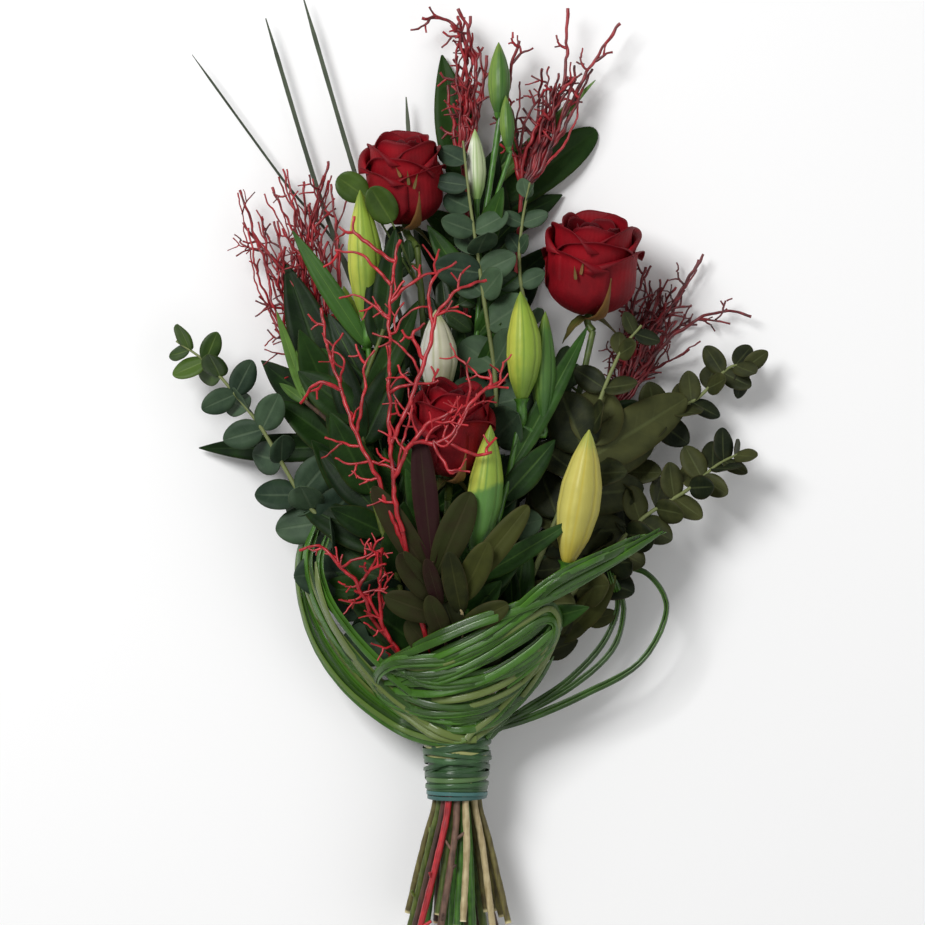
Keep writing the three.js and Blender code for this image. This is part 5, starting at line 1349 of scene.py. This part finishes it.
# Roses: where their leaves stand and to which hand, and the round leaves beside the bloom.
for key, spots, rounds in [
    ("top", [(0.55, 1), (0.8, -1), (0.68, 1), (0.6, -1), (0.74, -1), (0.88, 1), (0.97, -1)],
     [((366, 196, 12), (337, 176, 14)), ((392, 222, 24), (370, 187, 38))]),
    ("right", [(0.55, 1), (0.8, -1), (0.68, -1), (0.6, 1), (0.66, 1), (0.74, 1), (0.86, 1), (0.9, -1)], []),
    ("front", [], []),
]:
    stem = Plant(f"rose_{key}_stem")
    rose_foot(stem, ROSES[key])
    for fraction, hand in spots:
        rose_leaf(stem, fraction, hand)
    for foot, tip in rounds:
        foot, tip = at(stem.row, *foot), at(stem.row, *tip)
        start = nearest_on(stem.path, at(stem.row, 420, 290))
        stem.rods.add(smooth([start, mix(start, foot, 0.5), foot]), tapered(0.0011, 0.0004))
        leaf_between(stem.leaves("round_leaves", ROUND_LEAF, base=0.45, tip=0.45), foot, tip, 0.024, 0.2)
    stem.grow()
    rose_bloom(f"rose_{key}_bloom", ROSES[key])

# Eucalyptus.
eucalyptus("eucalyptus_left", GUM_BLUE, 101, 14, 0.36, 45, 25, young=True)
eucalyptus("eucalyptus_top", GUM_BLUE, 103, 12, 0.5, 42, 28)
eucalyptus("eucalyptus_right_lower", GUM_OLIVE, 105, 14, 0.46, 38, 24)
eucalyptus("eucalyptus_right_upper", GUM_OLIVE, 107, 13, 0.44, 40, 23)
eucalyptus("eucalyptus_inner", GUM_BLUE, 109, 8, 0.5, 30, 20)
eucalyptus("eucalyptus_round", GUM_OLIVE, 111, 7, 0.46, 46, 20, [
    (585, 452, 561, 392, 50, 2, 0.2), (590, 445, 608, 388, 50, -4, 1.0), (580, 470, 660, 440, 40, -10, 0.6),
    (592, 470, 694, 396, 46, -6, 0.9), (575, 500, 650, 490, 40, -12, 0.4), (565, 520, 540, 470, 36, -8, 0.2),
    (560, 540, 632, 530, 40, -16, 0.5), (560, 560, 612, 500, 38, -14, 0.1),
    (556, 580, 640, 562, 34, -18, 0.3)])

# Leucadendron.
greenery("leucadendron_maroon", PLUM_LEAF, OVAL, [
    (433, 565, 420, 438, 23, 12, 0.0), (437, 585, 376, 490, 24, 14, 0.7), (435, 575, 470, 495, 30, 8, 1.0),
    (440, 600, 402, 556, 26, 16, 0.8), (442, 615, 388, 596, 26, 14, 0.9), (436, 590, 408, 554, 11, 24, 1.0),
    (438, 605, 428, 562, 15, 20, 0.3), (444, 640, 430, 598, 20, 16, 0.9),
    (447, 668, 408, 622, 26, 4, 0.9), (449, 676, 436, 618, 24, 6, 0.8),
    (448, 700, 424, 652, 24, 4, 0.9)]).grow()
greenery("leucadendron_olive", OLIVE_LEAF, OVAL, [
    (459, 590, 526, 508, 24, 4), (460, 600, 486, 545, 26, 12), (462, 612, 450, 556, 22, 20),
    (462, 625, 505, 604, 22, 16),
    (463, 652, 446, 604, 24, 6, 0.1), (464, 660, 500, 612, 26, 6, 0.2), (464, 690, 452, 640, 26, 4, 0.0),
    (466, 694, 496, 644, 26, 2, 0.1), (466, 712, 480, 664, 24, 2, 0.1)]).grow()

# Painted twigs.
coral("coral_twigs_front", 301, 0.0020, 0.026, RED_TWIG, 1, [
    [(405, 530), (397, 500, 2), (392, 450, 2), (391, 400, 2), (391, 330, 0), (392, 288, -2), (401, 243, -8)],
    [(410, 552), (380, 480, 2), (355, 428, 0), (340, 381, -6), (330, 347, -10), (323, 310, -16)],
    [(394, 445), (412, 400, 4), (428, 355, 2), (436, 320, 0), (455, 296, 0), (486, 282, -6)],
    [(396, 478), (420, 433, 8), (446, 415, 8), (474, 406, 6)],
    [(430, 450), (446, 440, 6), (472, 404, 8), (488, 388, 4), (504, 381, 0)]], [
    [(391, 288), (363, 258, -4), (336, 254, -8)],
    [(363, 258), (358, 240, -6), (355, 221, -8)],
    [(391, 322), (372, 306, -2), (359, 298, -4), (342, 300, -6)],
    [(392, 306), (405, 292, 0), (421, 280, 0), (440, 274, -2)],
    [(391, 336), (397, 333, 2), (411, 314, 2), (431, 309, 0)],
    [(432, 330), (430, 300, 0), (436, 278, 0), (458, 266, -4)],
    [(359, 377), (346, 364, 0), (334, 353, -4)],
    [(369, 428), (366, 400, 2), (367, 369, 0), (375, 353, -2)],
    [(340, 391), (320, 384, 0), (302, 405, -4)],
    [(427, 379), (417, 367, 4), (399, 345, 2), (375, 336, 0)],
    [(411, 357), (413, 337, 4), (427, 326, 0)],
    [(465, 402), (470, 388, 10), (465, 372, 6), (470, 360, 2)],
    [(488, 388), (490, 380, 4), (489, 372, 2)],
    [(437, 469), (446, 446, 10), (457, 432, 10), (470, 408, 8)],
    [(437, 469), (448, 470, 10), (458, 470, 8)],
    [(446, 452), (464, 450, 10), (478, 455, 8), (492, 452, 6)],
    [(400, 470), (376, 462, 2), (350, 464, 0), (338, 458, -4)],
    [(392, 395), (402, 388, 4), (420, 386, 4), (440, 382, 2)],
    [(398, 470), (406, 434, 4), (412, 410, 4), (409, 388, 2)]])
coral("coral_twigs_low", 303, 0.0018, 0.018, RED_TWIG, 3, [
    [(375, 620), (362, 590, 8), (346, 570, 6), (320, 546, 2), (300, 550, 0)],
    [(388, 650), (382, 620, 8), (380, 585, 8), (382, 548, 8)],
    [(400, 672), (392, 640, 6), (370, 600, 6), (356, 588, 6)]], [
    [(342, 566), (360, 556, 6), (382, 550, 6)],
    [(366, 580), (374, 564, 8), (378, 552, 8)],
    [(360, 592), (374, 590, 8), (386, 588, 8)]])
coral("coral_twigs_left", 305, 0.0017, 0.024, DEEP_TWIG, 2, [
    [(325, 415), (300, 330), (265, 265), (236, 186)],
    [(322, 400), (318, 320), (310, 240), (326, 158)],
    [(330, 425), (290, 290), (240, 219)]],
    fan(21, (322, 402), (236, 182), (338, 166), 34, 34, 60) + fan(25, (318, 392), (252, 236), (336, 256), 12))
coral("coral_twigs_top", 307, 0.0021, 0.018, DEEP_TWIG, 1, [
    [(462, 155), (468, 110), (476, 70), (470, 30), (458, 2)],
    [(462, 150), (478, 100), (488, 50)],
    [(470, 60), (462, 30), (445, 13), (421, 12)]],
    fan(22, (466, 156), (458, 14), (478, 2), 10, 8, 16) + fan(26, (466, 150), (446, 60), (488, 40), 6))
coral("coral_twigs_top_right", 309, 0.0021, 0.019, DEEP_TWIG, 1, [
    [(522, 190), (545, 130), (566, 70), (570, 0)],
    [(522, 190), (556, 130), (586, 72), (622, 18)],
    [(522, 185), (508, 120), (512, 60), (522, 34)]],
    fan(23, (524, 190), (544, 54), (598, 54), 16, 12, 22) + fan(27, (524, 186), (500, 64), (606, 60), 7))
coral("coral_twigs_right", 311, 0.0018, 0.022, DARK_TWIG, 2, [
    [(612, 415), (640, 360), (672, 310), (708, 250)],
    [(612, 410), (660, 350), (700, 318), (730, 309), (755, 313)],
    [(615, 400), (630, 330), (650, 262)]],
    fan(24, (614, 416), (638, 276), (706, 250), 24, 24, 34) + fan(28, (616, 412), (700, 300), (716, 330), 4))

# Grass.
blades = Plant("upright_grass")
reeds = grass_rods(0.3, 0.2)
for k, spots in enumerate(UPRIGHTS):
    path = [at(blades.row, *spot) for spot in spots]
    path[0] = nearest_on(blades.path, path[0])
    half = 0.0026 if k else 0.0014
    reeds.add(smooth(path), lambda f: half * (1 - 0.35 * f) * min(1, 0.3 + 30 * (1 - f)), shade=0.2 + 0.2 * k)
place_piece(reeds.grow("upright_grass_blades", GREY_GRASS), blades.slot, blades.node)
blades.grow()

nest = grass_rods(0.36, 0.2)
for k, spots in enumerate(COLLAR):
    strand(nest, nest_path(spots, -0.5 * k), 0.0023, 3, 41 + k)
strand(nest, nest_path(FADED_BAND, 2.2), 0.0032, 2, 51, 0.95)
for k, spots in enumerate(TURNED):
    strand(nest, nest_path(spots, 1.0 + k), 0.0022, 3, 55 + k)
for k, spots in enumerate(FRONT):
    tucked = 5 if spots[0][0] < 430 else 0  # those that start on the left come out from under the collar
    half_width, copies = (0.0024, 3) if k % 3 else (0.0031, 2)
    strand(nest, nest_path(spots, 0.7 * (k % 3), tucked), half_width, copies, 61 + k)
place_piece(nest.grow("grass_collar_blades", GRASS), "grass_green", "grass_collar")

loops = grass_rods(0.5, 0.12)
for k, spots in enumerate(LOOPS):
    strand(loops, [bowl_point(*point) for point in spots], 0.0019, 2, 81 + k, 0.2)
place_piece(loops.grow("grass_loops_right_blades", GRASS), "grass_green", "grass_loops_right")


def wound(name, skin, slot, node, rounds, sides=10, flatness=0.2, knots=0.05):
    """A piece of turns wound round the neck."""
    rods = Rods(sides=sides, step=0.003, flatness=flatness, knots=knots, knot_scale=80.0)
    for turns in rounds:
        wind(rods, *turns)
    place_piece(rods.grow(name, skin), slot, node)


# Under the turns that show lies a layer that no stem shows through.
wound("neck_binding_under", WOUND_GRASS, "grass_wound", "neck_binding", [
    (TIE_TOP, BINDING_TOP, 11, (0.0222, 0.0240), 0.0030, 0.0, 97)])
wound("neck_binding_blades", WOUND_GRASS, "grass_wound", "neck_binding", [
    (BINDING_BOTTOM, BINDING_TOP, 16, (0.0240, 0.0270), 0.0021, 0.0065, 91),
    (TIE_TOP, BINDING_BOTTOM, 4, (0.0238, 0.0242), 0.0018, 0.0022, 99),
    (BINDING_BOTTOM + 0.008, BINDING_TOP - 0.004, 5, (0.0258, 0.0272), 0.0016, 0.0105, 95)])
wound("neck_tie_turns", TAPE, "tape", "neck_tie", [
    (TIE_BOTTOM, TIE_TOP, 2, (0.0240, 0.0240), 0.0016, 0.0012, 93)], sides=8, flatness=0.1, knots=0.04)


# ------------------------------------------------------------------------------- floor, light, camera

FLOOR_HALF = 4.0
PAPER = (0.93, 0.93, 0.93, 1)
CAMERA_HEIGHT = 3.5
SENSOR = 36.0
PICTURE_STEPS = 925  # the picture's side on the layout grid
MIDDLE = (0.004, 0.0, 0.08)  # of the bouquet


def stage_floor():
    corners = [(x * FLOOR_HALF, y * FLOOR_HALF, 0) for x, y in ((-1, -1), (1, -1), (1, 1), (-1, 1))]
    mesh = carrying("floor", corners, [], [(0, 1, 2, 3)], {})
    paper = bpy.data.materials.new("paper")
    paper.use_nodes = True
    shader = paper.node_tree.nodes["Principled BSDF"].inputs
    shader["Base Color"].default_value = PAPER
    shader["Roughness"].default_value = 0.9
    mesh.materials.append(paper)
    return link(bpy.data.objects.new("floor", mesh))


def lamp(name, size, power, place, target):
    light = bpy.data.lights.new(name, "AREA")
    light.size = size
    light.energy = power
    made = link(bpy.data.objects.new(name, light))
    made.location = place
    aim = Vector(target) - Vector(place)
    made.rotation_euler = aim.to_track_quat("-Z", "Y").to_euler()
    return made


stage_floor()
lamp("key", 1.3, 104.0, (-1.5, 1.4, 2.9), MIDDLE)
lamp("fill", 2.4, 18.0, (1.8, -0.8, 2.4), MIDDLE)
world = bpy.data.worlds.new("studio")
world.use_nodes = True
background = world.node_tree.nodes["Background"].inputs
background["Color"].default_value = (1, 1, 1, 1)
background["Strength"].default_value = 0.3
bpy.context.scene.world = world
bpy.context.scene.view_settings.view_transform = "Standard"

eye = bpy.data.cameras.new("camera")
eye.sensor_width = SENSOR
eye.lens = SENSOR * (CAMERA_HEIGHT - MIDDLE[2]) / (PICTURE_STEPS * PIXEL)
eye.clip_end = 20.0
camera = link(bpy.data.objects.new("camera", eye))
centre_x, centre_y = plan(PICTURE_STEPS / 2, PICTURE_STEPS / 2)
camera.location = (NECK[0] + centre_x, NECK[1] + centre_y, CAMERA_HEIGHT)
bpy.context.scene.camera = camera
